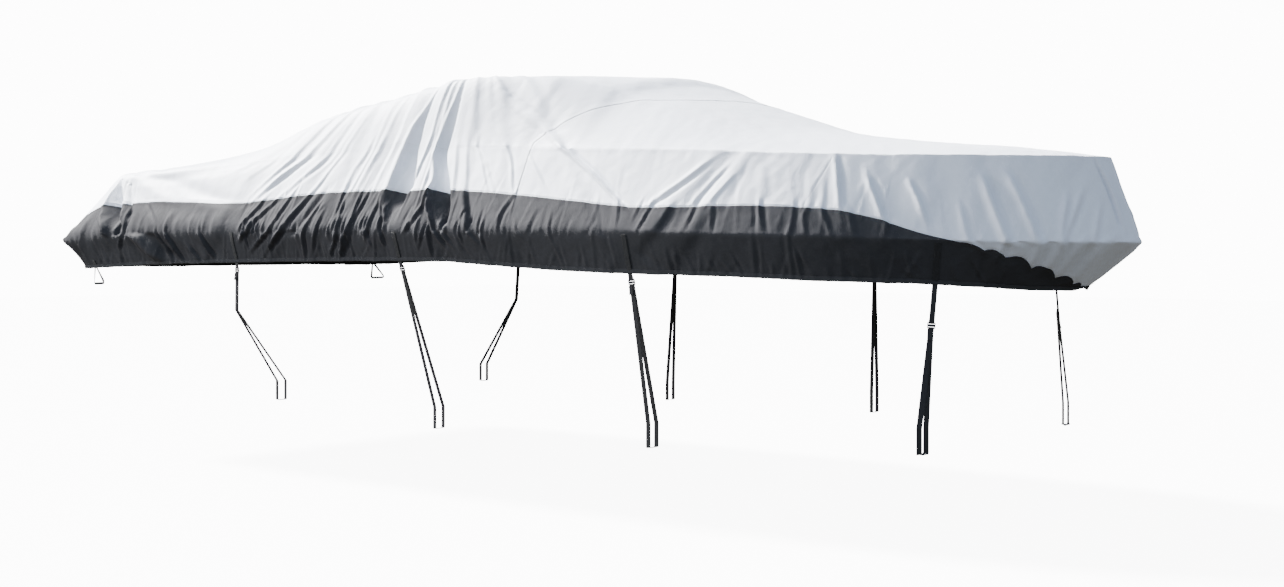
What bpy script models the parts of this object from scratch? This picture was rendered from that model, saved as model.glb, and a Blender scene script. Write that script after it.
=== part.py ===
"""Fitted trailering cover for a 6.5 m runabout, in the shape that it takes over the boat.

Silver panels are sewn to a black band whose elastic hem is drawn in under the rub rail. Webbing loops
tie the hem down. The boat is left out, so the cover is hollow and hangs from the top of the windscreen.

Metres, +X to the bow, +Y to port, +Z up. The origin is the inside of the crown, on the centreline,
where the windscreen carries it. The tables give x from that origin, half-breadths to starboard, and
heights above the ground, which is MOUNT_HEIGHT below the origin.
"""

import math

import bpy
import numpy as np
from mathutils import Matrix, Vector

# ---------------------------------------------------------------- driving dimensions

MOUNT_HEIGHT = 2.130        # inside of the crown, above the ground
CLOTH = 0.002               # thickness of the cover's cloth
SEAM_GAP = 0.0005           # between two sewn pieces
SEAM_END = SEAM_GAP / 2     # what each piece gives up at a seam

CROWN_SEAM_X = 0.10         # where the crown seam crosses the gunwale
CROWN_SEAM_REACH = 0.59     # how far forward the seam is on the centreline
CROWN_SEAM_BREADTH = 0.98   # share of the half-breadth over which it curves
CROWN_SEAM_AHEAD = 1.75     # length of deck ahead of the seam that follows its curve
CROWN_SEAM_BEHIND = 1.40    # and behind it
STERN_EDGE_BLEND = 0.60     # length of deck that follows the curve of the stern edge
BAND_END = 0.030            # the band stops this far short of the stem, along the rail

WEBBING = 0.025             # width of the tie-down webbing
WEBBING_THICK = 0.0016
TAB_TOP = 2.85              # row of the band where a tab starts, just under the rail
LAP = 0.020                 # webbing turned back round a bar
CLEAR = 0.0004              # between webbing and the bar that it turns round
TAB_CLEAR = 0.0006          # between a tab and the band under it
TAIL_SHIFT = 0.006          # a free end lies this far aft of its strap's middle
TAIL_BREADTH = 0.8          # breadth of a free end, as a share of the webbing's
TAIL_START = 0.004          # it starts this far below the buckle's lower bar
TAIL_CURL = 0.007           # and its tip stands this far out from the strap
RAIL_WIDTH = 0.060          # the trailer's rail inside a tie-down
RAIL_HEIGHT = 0.110

BUCKLE = {"width": 0.036, "height": 0.027, "thick": 0.004, "bar": 0.005, "slot": 0.0055, "side": 0.0035}

TIE_CORD = 0.009            # width of the stern ties
TIE_DROP = 0.100            # how far they reach below the hem
TIE_SPREAD = 0.130          # their breadth at the bottom
TIE_SLIP = 0.045            # the bottom lies this far aft of the top
TIE_TOP = 0.0135            # breadth between the middles of the two legs at the hem
TIE_SEWN = 0.6              # rows of the band that they are sewn over

SILVER = (0.72, 0.73, 0.76)
BLACK = (0.030, 0.030, 0.034)
WEBBING_BLACK = (0.018, 0.018, 0.020)
BUCKLE_BLACK = (0.012, 0.012, 0.013)

# ---------------------------------------------------------------- the shape, as short tables

# One row for each rib, from the stem aft along the starboard side and round to the transom's middle.
# The hem, the rub rail and the gunwale are places (x, half-breadth, height); the seam is the height of
# the band's upper edge.
RIBS = (
    ("rib",          "rail_x", "rail_b", "rail_z", "hem_x", "hem_b", "hem_z", "seam_z",
     "gun_x", "gun_b", "gun_z"),
    ("stem",          2.740, 0.000, 1.260,   2.490, 0.000, 1.060,   1.060,   2.610, 0.000, 1.634),
    ("nose",          2.715, 0.100, 1.261,   2.475, 0.070, 1.055,   1.080,   2.590, 0.075, 1.634),
    ("bow",           2.620, 0.260, 1.262,   2.420, 0.190, 1.058,   1.116,   2.510, 0.195, 1.635),
    ("bow_flare",     2.460, 0.430, 1.264,   2.310, 0.360, 1.067,   1.180,   2.360, 0.335, 1.637),
    ("bow_quarter",   2.270, 0.580, 1.268,   2.180, 0.515, 1.078,   1.245,   2.180, 0.465, 1.640),
    ("tie_four",      2.090, 0.700, 1.273,   2.050, 0.635, 1.088,   1.296,   2.010, 0.565, 1.643),
    ("fore_shoulder", 1.870, 0.830, 1.280,   1.840, 0.770, 1.095,   1.372,   1.845, 0.648, 1.646),
    ("side_seam",     1.660, 0.930, 1.288,   1.650, 0.870, 1.100,   1.407,   1.700, 0.712, 1.650),
    ("foredeck",      1.300, 1.045, 1.297,   1.300, 0.985, 1.115,   1.424,   1.300, 0.845, 1.668),
    ("fore_cockpit",  0.900, 1.125, 1.308,   0.900, 1.070, 1.123,   1.419,   0.900, 0.925, 1.690),
    ("dash",          0.500, 1.165, 1.313,   0.500, 1.115, 1.132,   1.452,   0.500, 0.975, 1.705),
    ("crown_seam",    0.100, 1.185, 1.318,   0.100, 1.135, 1.150,   1.492,   0.100, 0.995, 1.722),
    ("windscreen",   -0.450, 1.200, 1.325,  -0.450, 1.150, 1.174,   1.526,  -0.450, 1.005, 1.741),
    ("cockpit",      -1.200, 1.200, 1.330,  -1.200, 1.150, 1.168,   1.530,  -1.200, 1.010, 1.738),
    ("aft_cockpit",  -2.000, 1.200, 1.332,  -2.000, 1.150, 1.155,   1.488,  -2.000, 1.010, 1.722),
    ("engine",       -2.800, 1.200, 1.325,  -2.800, 1.145, 1.138,   1.507,  -2.800, 1.005, 1.708),
    ("quarter",      -3.400, 1.197, 1.310,  -3.380, 1.130, 1.115,   1.492,  -3.250, 1.000, 1.700),
    ("corner_start", -3.660, 1.170, 1.293,  -3.550, 1.100, 1.110,   1.440,  -3.370, 0.970, 1.695),
    ("corner",       -3.765, 1.115, 1.284,  -3.630, 1.050, 1.110,   1.340,  -3.420, 0.920, 1.693),
    ("corner_end",   -3.820, 1.000, 1.280,  -3.680, 0.950, 1.110,   1.300,  -3.445, 0.820, 1.694),
    ("stern_half",   -3.830, 0.500, 1.280,  -3.695, 0.480, 1.110,   1.297,  -3.460, 0.420, 1.700),
    ("stern_middle", -3.830, 0.000, 1.280,  -3.695, 0.000, 1.110,   1.297,  -3.460, 0.000, 1.706),
)

# One row for each station of the top: height on the centreline, and the shoulder's half-breadth
# (as a share of the gunwale's) and height.
TOP = (
    ("station", "x",   "ridge_z", "shoulder_share", "shoulder_z"),
    ("stern",   -3.46, 1.706, 0.70, 1.700),
    ("engine",  -3.00, 1.762, 0.76, 1.733),
    ("aft",     -2.20, 1.887, 0.84, 1.800),
    ("cockpit", -1.50, 2.020, 0.86, 1.970),
    ("slope",   -0.95, 2.082, 0.87, 2.044),
    ("glass_aft", -0.45, 2.128, 0.86, 2.108),
    ("crown",    0.00, 2.130, 0.80, 2.100),
    ("glass_fore", 0.32, 2.121, 0.62, 2.032),
    ("glass_foot", 0.46, 2.062, 0.60, 1.982),
    ("crown_seam", 0.66, 1.990, 0.60, 1.932),
    ("foot",     1.30, 1.798, 0.60, 1.762),
    ("foredeck", 1.80, 1.730, 0.62, 1.706),
    ("bow_deck", 2.20, 1.692, 0.64, 1.678),
    ("stem",     2.61, 1.634, 0.70, 1.634),
)

# Girth coordinate: 0 at the hem, 1 at the rub rail, 2 at the gunwale, 3 halfway to the centreline.
# A pleat runs from (top, top_x) over the gunwale at gun_x to the hem at hem_x. Its crest stands
# proud by crest, its valley sinks by valley, and width is the distance between the two. A negative
# width turns the steep side aft.
PLEATS = (
    ("pleat",          "top", "top_x", "gun_x", "hem_x", "crest", "valley", "width"),
    ("great_valley",    2.75, -0.72, -0.74, -0.78, 0.016, 0.022, 0.075),
    ("corner_valley",   2.75, -0.52, -0.53, -0.36, 0.014, 0.020, 0.065),
    ("corner_thin",     2.70, -0.45, -0.29,  0.00, 0.006, 0.008, 0.040),
    ("corner_fore",     2.65, -0.37, -0.05,  0.18, 0.008, 0.008, 0.050),
    ("long_diagonal",   2.60, -0.30,  0.34,  0.98, 0.010, 0.010, 0.055),
    ("crown_drop",      2.40,  0.10,  0.06,  0.14, 0.005, 0.006, 0.050),
    ("tent_first",      2.70, -0.86, -0.95, -1.06, 0.010, 0.010, 0.060),
    ("tent_second",     2.70, -1.00, -1.18, -1.32, 0.010, 0.012, 0.060),
    ("tent_third",      2.65, -1.12, -1.40, -1.66, 0.010, 0.012, 0.065),
    ("tent_fourth",     2.60, -1.30, -1.66, -1.98, 0.012, 0.012, 0.070),
    ("tent_fifth",      2.50, -1.45, -1.92, -2.24, 0.010, 0.012, 0.075),
    ("engine_swag",     2.30, -3.25, -2.95, -2.10, 0.012, 0.012, 0.110),
    ("stern_corner",    2.20, -3.34, -3.34, -3.44, 0.010, 0.010, 0.060),
    ("fore_diagonal",   1.98,  1.20,  1.20,  0.72, 0.014, 0.014, 0.060),
    ("fore_diagonal_2", 1.95,  1.32,  1.32,  1.00, 0.010, 0.010, 0.055),
    ("shoulder_drop",   1.92,  1.72,  1.72,  1.98, 0.008, 0.010, 0.060),
    ("bow_drop",        1.90,  1.83,  1.83,  2.10, 0.008, 0.010, 0.060),
    ("flare_drop",      1.85,  2.03,  2.03,  2.20, 0.006, 0.008, 0.055),
    ("stem_drop",       1.85,  2.20,  2.20,  2.42, 0.006, 0.008, 0.050),
)
PLEAT_FADE = 0.35           # girth over which a pleat dies away at its top

# The tie-downs: where each leaves the hem, the outer top edge of the rail that it passes round, and how
# far its buckle hangs below the hem. A tail of 0 is a strap with no free end below its buckle.
TIES = (
    ("tie",        "hem_x", "rail_x", "rail_b", "rail_top", "buckle_drop", "tail"),
    ("quarter",    -1.985,  -2.000,   0.860,    0.470,      0.045,         0.040),
    ("cockpit",    -0.657,  -0.560,   1.000,    0.420,      0.045,         0.000),
    ("foredeck",    0.800,   0.851,   1.020,    0.435,      0.045,         0.040),
    ("bow",         2.090,   2.090,   0.750,    0.477,      0.180,         0.050),
)
TIE_FLAT = 0.020            # half the length of hem that stays flat at a tie-down
TIE_CALM = 0.080            # pleats die away this close to one
CALM_GIRTH = 0.6            # and are back at this girth above the rail
STEM_CALM = (0.05, 0.25)    # pleats start this far from the stem, and grow over this length
CORNER_CALM = 0.10          # they end at the stern corner over this length
QUARTER_BEND = (1.142, 0.885)   # the quarter tie-down turns inboard here (half-breadth, height)
STERN_TIE_X = -3.410        # where a stern tie leaves the hem

# Columns of the shell: spacing along the rail in each stretch of x.
SPACING = (
    ("stretch", "from_x", "to_x", "step"),
    ("bow",     2.74,  1.66, 0.115),
    ("fore",    1.66,  0.90, 0.130),
    ("dash",    0.90,  0.10, 0.115),
    ("fan",     0.10, -2.10, 0.080),
    ("engine", -2.10, -3.38, 0.145),
    ("corner", -3.38, -3.83, 0.050),
)
ACROSS = (1.0, 0.93, 0.85, 0.74, 0.56, 0.30, 0.0)   # columns of the top, as shares of the half-breadth
BAND_ROWS = 3               # rows below the rail, and again from the rail to the seam
SIDE_ROWS = (1, 3)          # rows of a side panel below and above its knee


# ---------------------------------------------------------------- reading the tables


def column(table, name):
    """One named column of a table."""
    place = table[0].index(name)
    return np.array([row[place] for row in table[1:]])


def rows(table):
    """Each row of a table as a dictionary."""
    return [dict(zip(table[0], row)) for row in table[1:]]


def smooth(x, xs, ys):
    """A monotone cubic through (xs, ys), read at x."""
    steps = np.diff(xs)
    slopes = np.diff(ys) / steps
    tangents = np.zeros(len(xs))
    for i in range(1, len(xs) - 1):
        if slopes[i - 1] * slopes[i] > 0:
            w1 = 2 * steps[i] + steps[i - 1]
            w2 = steps[i] + 2 * steps[i - 1]
            tangents[i] = (w1 + w2) / (w1 / slopes[i - 1] + w2 / slopes[i])
    tangents[0] = slopes[0]
    tangents[-1] = slopes[-1]
    i = int(np.clip(np.searchsorted(xs, x) - 1, 0, len(xs) - 2))
    u = (x - xs[i]) / steps[i]
    return float(
        ys[i] * (1 + 2 * u) * (1 - u) ** 2
        + tangents[i] * steps[i] * u * (1 - u) ** 2
        + ys[i + 1] * u * u * (3 - 2 * u)
        + tangents[i + 1] * steps[i] * u * u * (u - 1)
    )


RAIL = np.column_stack([column(RIBS, "rail_x"), column(RIBS, "rail_b")])
RUN = np.concatenate([[0.0], np.cumsum(np.linalg.norm(np.diff(RAIL, axis=0), axis=1))])
RIB_NAMES = list(column(RIBS, "rib"))
MIRRORED_RUN = np.concatenate([[-RUN[1]], RUN])


def rib_run(name):
    """Distance along the rail from the stem to a named rib."""
    return RUN[RIB_NAMES.index(name)]


def rib(run, name):
    """A named measure of the rib at a distance along the rail from the stem."""
    values = column(RIBS, name).astype(float)
    mirrored = -values[1] if name.endswith("_b") else values[1]
    return smooth(run, MIRRORED_RUN, np.concatenate([[mirrored], values]))


def run_at(x, name):
    """Distance along the rail of the rib whose named x is the one given."""
    low, high = 0.0, rib_run("corner_end")
    for _ in range(40):
        middle = (low + high) / 2
        if rib(middle, name) > x:
            low = middle
        else:
            high = middle
    return (low + high) / 2


def ease(u):
    """Smooth step from 0 to 1."""
    u = min(1.0, max(0.0, u))
    return u * u * (3 - 2 * u)


# ---------------------------------------------------------------- the shell without its folds


def rib_point(run, name):
    return np.array([rib(run, name + "_x"), rib(run, name + "_b"), rib(run, name + "_z")])


def wall_point(run, girth):
    """Starboard wall at a girth from 0, the hem, by 1, the rail, to 2, the gunwale."""
    hem, rail, gun = (rib_point(run, name) for name in ("hem", "rail", "gun"))
    if girth <= 1:
        return hem + (rail - hem) * girth
    return rail + (gun - rail) * (girth - 1)


def seam_girth(run):
    """Girth of the band's upper seam."""
    seam, hem, rail, gun = (rib(run, name + "_z") for name in ("seam", "hem", "rail", "gun"))
    if seam < rail:
        return (seam - hem) / (rail - hem)
    return 1 + (seam - rail) / (gun - rail)


def band_girths(run):
    """Rows of the band: its knee lies on the rail wherever the band reaches well above it."""
    seam = seam_girth(run)
    knee = min(1.0, 0.8 * seam)
    return np.concatenate([np.linspace(0, knee, BAND_ROWS + 1), np.linspace(knee, seam, BAND_ROWS + 1)[1:]])


def side_girths(run):
    """Rows of a side panel, from the band's seam to the gunwale."""
    seam = seam_girth(run)
    knee = max(1.0, seam + 0.2 * (2 - seam))
    low, high = SIDE_ROWS
    return np.concatenate([np.linspace(seam, knee, low + 1), np.linspace(knee, 2, high + 1)[1:]])


def top_height(x, share, gun_z):
    """Height of the top at x and at a share of the half-breadth."""
    xs = column(TOP, "x").astype(float)
    ridge, shoulder_share, shoulder = (
        smooth(x, xs, column(TOP, name).astype(float)) for name in ("ridge_z", "shoulder_share", "shoulder_z")
    )
    across = np.array([-shoulder_share, 0.0, shoulder_share, 1.0])
    heights = np.array([shoulder, ridge, shoulder, gun_z])
    return smooth(abs(share), across, heights)


def top_point(run, share):
    """The top at a rib and a share of the half-breadth, +1 at the starboard gunwale, -1 to port."""
    gun = rib_point(run, "gun")
    bend = CROWN_SEAM_REACH * max(0.0, 1 - (abs(share) / CROWN_SEAM_BREADTH) ** 3)
    from_seam = gun[0] - CROWN_SEAM_X
    length = CROWN_SEAM_AHEAD if from_seam > 0 else CROWN_SEAM_BEHIND
    x = gun[0] + bend * ease(1 - abs(from_seam) / length)
    point = np.array([x, share * gun[1], top_height(x, share, gun[2])])
    corner = rib_run("corner")
    stern = rib_point(corner + (RUN[-1] - corner) * (1 - abs(share)), "gun")
    stern[1] *= math.copysign(1.0, share)
    last = rib_point(corner, "gun")
    blend = ease(1 - (gun[0] - last[0]) / STERN_EDGE_BLEND)
    straight = np.array([last[0], share * last[1], top_height(last[0], share, last[2])])
    return point + (stern - straight) * blend


def columns():
    """Distances along the rail of the shell's columns, with the seams and the flats at the ties."""
    kept = {rib_run(name) for name in ("side_seam", "crown_seam", "corner")} | {0.0, BAND_END}
    for tie in rows(TIES):
        middle = run_at(tie["hem_x"], "hem_x")
        kept |= {middle - TIE_FLAT, middle + TIE_FLAT}
    middle = run_at(STERN_TIE_X, "hem_x")
    kept |= {middle - TIE_FLAT, middle + TIE_FLAT}
    kept = sorted(kept)
    out = [kept[0]]
    for start, end in zip(kept, kept[1:]):
        x = rib((start + end) / 2, "rail_x")
        step = next(s["step"] for s in rows(SPACING) if s["from_x"] >= x >= s["to_x"])
        parts = max(1, round((end - start) / step))
        if parts * step < 0.6 * (end - start):
            parts += 1
        stops = np.linspace(start, end, parts + 1)[1:]
        out.extend(float(stop) for stop in stops)
    return out


# ---------------------------------------------------------------- folds


def pleat_x(pleat, girth):
    """Where a pleat's steep side lies at a girth."""
    if girth <= 2:
        return pleat["hem_x"] + (pleat["gun_x"] - pleat["hem_x"]) * girth / 2
    reach = (girth - 2) / max(pleat["top"] - 2, 0.01)
    return pleat["gun_x"] + (pleat["top_x"] - pleat["gun_x"]) * min(reach, 1.4)


def pleat_rise(x, girth):
    """How far all pleats together lift the cloth at x and a girth."""
    rise = 0.0
    for pleat in rows(PLEATS):
        fade = ease((pleat["top"] + PLEAT_FADE - girth) / PLEAT_FADE)
        if fade == 0:
            continue
        offset = x - pleat_x(pleat, girth)
        width = pleat["width"]
        crest = pleat["crest"] * math.exp(-(((offset + width / 2) / width) ** 2))
        valley = pleat["valley"] * math.exp(-(((offset - width / 2) / width) ** 2))
        rise += (crest - valley) * fade
    return rise


def calm(run):
    """0 at a tie-down, where the hem is pulled flat, and 1 away from one."""
    away = min(abs(run - run_at(x, "hem_x")) for x in [t["hem_x"] for t in rows(TIES)] + [STERN_TIE_X])
    return ease((away - TIE_FLAT) / TIE_CALM)


# ---------------------------------------------------------------- the shell as two grids


def grid_normals(grid):
    """Outward normals of a grid of points whose rows run aft and whose columns run from starboard to port."""
    aft = np.gradient(grid, axis=0)
    across = np.gradient(grid, axis=1)
    normals = np.cross(aft, across)
    lengths = np.linalg.norm(normals, axis=2, keepdims=True)
    return normals / np.maximum(lengths, 1e-9)


def main_grid(runs):
    """The whole girth at each column, from the starboard hem over the top to the port hem."""
    grid, girths = [], []
    for run in runs:
        walls = np.concatenate([band_girths(run), side_girths(run)[1:]])
        starboard = [wall_point(run, girth) for girth in walls]
        shares = list(ACROSS[1:]) + [-share for share in reversed(ACROSS[:-1])]
        top = [top_point(run, share) for share in shares[:-1]]
        port = [point * (1, -1, 1) for point in reversed(starboard)]
        grid.append(starboard + top + port)
        top_girths = [2 + 2 * (1 - abs(share)) for share in shares[:-1]]
        girths.append(list(walls) + top_girths + list(reversed(walls)))
    return np.array(grid), np.array(girths)


def folded(grid, girths, runs):
    """The main grid with its pleats, which lie on both sides of the boat."""
    normals = grid_normals(grid)
    out = grid.copy()
    for i, run in enumerate(runs):
        still = calm(run)
        for j in range(grid.shape[1]):
            girth = girths[i, j]
            quiet = still + (1 - still) * ease((girth - 1) / CALM_GIRTH)
            rise = pleat_rise(grid[i, j, 0], girth) * quiet
            rise *= ease((run - STEM_CALM[0]) / STEM_CALM[1]) * ease((RUN_CORNER - run) / CORNER_CALM)
            out[i, j] += normals[i, j] * rise
    return out


def to_frame(grid):
    """From half-breadths to starboard and heights above the ground to the part's own frame."""
    return grid * (1, -1, 1) - (0, 0, MOUNT_HEIGHT)


RUN_CORNER = rib_run("corner")
RUNS = columns()
WALL = 2 * BAND_ROWS + sum(SIDE_ROWS)        # rows of cloth from the hem to the gunwale
SPAN = 2 * (len(ACROSS) - 1)                 # columns of cloth across the top
BASE, GIRTHS = main_grid(RUNS)
SHELL = folded(BASE, GIRTHS, RUNS)


def stern_grid():
    """Rows from the gunwale edge down to the hem, columns from the starboard corner to the port one."""
    shares = list(ACROSS) + [-share for share in reversed(ACROSS[:-1])]
    grid = []
    for share in shares:
        run = RUN_CORNER + (RUN[-1] - RUN_CORNER) * (1 - abs(share))
        girths = np.concatenate([band_girths(run), side_girths(run)[1:]])
        points = np.array([wall_point(run, girth) for girth in girths])
        points[:, 1] *= math.copysign(1.0, share)
        grid.append(points)
    grid = np.array(grid)
    grid[0], grid[-1] = SHELL[-1, :WALL + 1], SHELL[-1, ::-1][:WALL + 1]
    grid[:, WALL] = SHELL[-1, WALL:WALL + SPAN + 1]
    return grid


# ---------------------------------------------------------------- making objects


def new_collection(name):
    collection = bpy.data.collections.new(name)
    bpy.context.scene.collection.children.link(collection)
    return collection


def finish(name, rgb, roughness):
    """A plain material of its own for each piece."""
    material = bpy.data.materials.new(name + "_finish")
    material.use_nodes = True
    shader = material.node_tree.nodes["Principled BSDF"]
    shader.inputs["Base Color"].default_value = (*rgb, 1.0)
    shader.inputs["Roughness"].default_value = roughness
    return material


def add_object(name, data, material, collection):
    data.materials.append(material)
    obj = bpy.data.objects.new(name, data)
    collection.objects.link(obj)
    return obj


def sheet(name, grid, gaps, rgb, roughness, collection):
    """A piece of cloth from a grid of points, with CLOTH added on its outside.

    gaps names the edges that are sewn to a neighbour: first_row, last_row, first_column, last_column.
    """
    grid = grid.copy()
    edges = {
        "first_row": ((0, slice(None)), (1, slice(None))),
        "last_row": ((-1, slice(None)), (-2, slice(None))),
        "first_column": ((slice(None), 0), (slice(None), 1)),
        "last_column": ((slice(None), -1), (slice(None), -2)),
    }
    for edge in gaps:
        place, inside = edges[edge]
        step = grid[inside] - grid[place]
        grid[place] += step / np.linalg.norm(step, axis=1, keepdims=True) * SEAM_END
    high, wide = grid.shape[:2]
    faces = []
    for i in range(high - 1):
        for j in range(wide - 1):
            faces.append((i * wide + j, i * wide + j + 1, (i + 1) * wide + j + 1, (i + 1) * wide + j))
    mesh = bpy.data.meshes.new(name)
    mesh.from_pydata([tuple(p) for p in grid.reshape(-1, 3)], [], faces)
    mesh.shade_smooth()
    obj = add_object(name, mesh, finish(name, rgb, roughness), collection)
    solidify = obj.modifiers.new("cloth", "SOLIDIFY")
    solidify.thickness = CLOTH
    solidify.offset = 1.0
    return obj


def ribbon(name, path, across, width, thickness, rgb, collection, closed=False):
    """Webbing along a path of points, its width along the matching vectors of across."""
    half = [Vector(a).normalized() * width / 2 for a in across]
    vertices = []
    for point, side in zip(path, half):
        vertices += [Vector(point) - side, Vector(point) + side]
    count = len(path)
    faces = []
    for i in range(count if closed else count - 1):
        following = (i + 1) % count
        faces.append((2 * i, 2 * i + 1, 2 * following + 1, 2 * following))
    mesh = bpy.data.meshes.new(name)
    mesh.from_pydata(vertices, [], faces)
    obj = add_object(name, mesh, finish(name, rgb, 0.8), collection)
    solidify = obj.modifiers.new("webbing", "SOLIDIFY")
    solidify.thickness = thickness
    solidify.offset = 0.0
    return obj


def outline(curve, width, height, centre_y=0.0):
    """A closed rectangle in a flat curve."""
    spline = curve.splines.new("POLY")
    spline.points.add(3)
    spline.use_cyclic_u = True
    for point, (u, v) in zip(spline.points, ((-1, -1), (1, -1), (1, 1), (-1, 1))):
        point.co = (u * width / 2, centre_y + v * height / 2, 0, 1)


def buckle(name, frame, collection):
    """A two-slot slide: a plate with its bars across, cut from one flat outline."""
    curve = bpy.data.curves.new(name, "CURVE")
    curve.dimensions = "2D"
    curve.fill_mode = "BOTH"
    curve.extrude = BUCKLE["thick"] / 2
    outline(curve, BUCKLE["width"], BUCKLE["height"])
    for sign in (1, -1):
        centre = sign * (BUCKLE["height"] / 2 - BUCKLE["bar"] - BUCKLE["slot"] / 2)
        outline(curve, BUCKLE["width"] - 2 * BUCKLE["side"], BUCKLE["slot"], centre)
    obj = add_object(name, curve, finish(name, BUCKLE_BLACK, 0.45), collection)
    obj.matrix_world = frame
    return obj


# ---------------------------------------------------------------- the cover's cloth


def build_cloth(collection):
    """Every sewn panel, each a block of the two grids."""
    shell = to_frame(SHELL)
    stern = to_frame(stern_grid())
    side_seam = RUNS.index(rib_run("side_seam"))
    crown_seam = RUNS.index(rib_run("crown_seam"))
    band_start = RUNS.index(BAND_END)
    seam_row, gunwale = 2 * BAND_ROWS, WALL
    whole = shell.shape[1] - 1
    blocks = {"fore": (0, side_seam), "mid": (side_seam, crown_seam), "aft": (crown_seam, len(RUNS) - 1)}
    for side in ("starboard", "port"):
        for name, (start, end) in blocks.items():
            low, high = (seam_row, gunwale) if side == "starboard" else (whole - gunwale, whole - seam_row)
            block = shell[start:end + 1, low:high + 1]
            gaps = ["first_row", "last_row", "first_column", "last_column"]
            sheet(f"side_{name}_{side}", block, gaps, SILVER, 0.55, collection)
        low, high = (0, seam_row) if side == "starboard" else (whole - seam_row, whole)
        sewn = "last_column" if side == "starboard" else "first_column"
        block = shell[band_start:, low:high + 1]
        sheet(f"band_{side}", block, ["first_row", "last_row", sewn], BLACK, 0.6, collection)
    top = shell[:, gunwale:gunwale + SPAN + 1]
    every_edge = ["first_row", "last_row", "first_column", "last_column"]
    fore = top[RUNS.index(BAND_END):crown_seam + 1]
    sheet("deck_fore", fore, every_edge[1:], SILVER, 0.55, collection)
    sheet("deck_aft", top[crown_seam:], every_edge, SILVER, 0.55, collection)
    silver, black = stern[:, seam_row:][:, ::-1], stern[:, :seam_row + 1][:, ::-1]
    sheet("stern_panel", np.swapaxes(silver, 0, 1), every_edge, SILVER, 0.55, collection)
    sheet("band_stern", np.swapaxes(black, 0, 1), every_edge[:1] + every_edge[2:], BLACK, 0.6, collection)


# ---------------------------------------------------------------- the tie-downs


def unit(vector):
    return vector / np.linalg.norm(vector)


def wall_path(run, top_row, distance):
    """Points down the band from near a row to the hem, outside the flat facets that lie at a tie-down.

    Also gives the band's direction at each point and the lowest facet's outward normal.
    """
    rows_down = [top_row] + list(range(math.ceil(top_row) - 1, -1, -1))
    edges = []
    for end in (run - TIE_FLAT, run + TIE_FLAT):
        girths = np.interp(rows_down, range(2 * BAND_ROWS + 1), band_girths(end))
        edges.append(np.array([wall_point(end, girth) for girth in girths]))
    points = (edges[0] + edges[1]) / 2
    along = [unit(b - a) for a, b in zip(*edges)]
    facets = [unit(np.cross(b - a, side)) for a, b, side in zip(points, points[1:], along)]
    facets = [facet * math.copysign(1.0, facet[1]) for facet in facets]
    out = []
    for point, before, after in zip(points, facets[:1] + facets, facets + facets[-1:]):
        middle = unit(before + after)
        out.append(point + middle * distance / np.dot(middle, after))
    return out, along, facets[-1]


def bar_loop(bar, down, out, sign):
    """Points of webbing round a bar, from its front to its back. It passes under the bar if sign is +1."""
    high, deep = BUCKLE["bar"] / 2, BUCKLE["thick"] / 2
    off = CLEAR + WEBBING_THICK / 2
    slant = off * math.sqrt(0.5)
    side, end = deep + off, high + off
    front = [(side, 0), (side, high - CLEAR), (deep + slant, high + slant), (deep - CLEAR, end)]
    turn = front + [(-across, along) for across, along in reversed(front)]
    return [bar + out * across + down * sign * along for across, along in turn]


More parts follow.
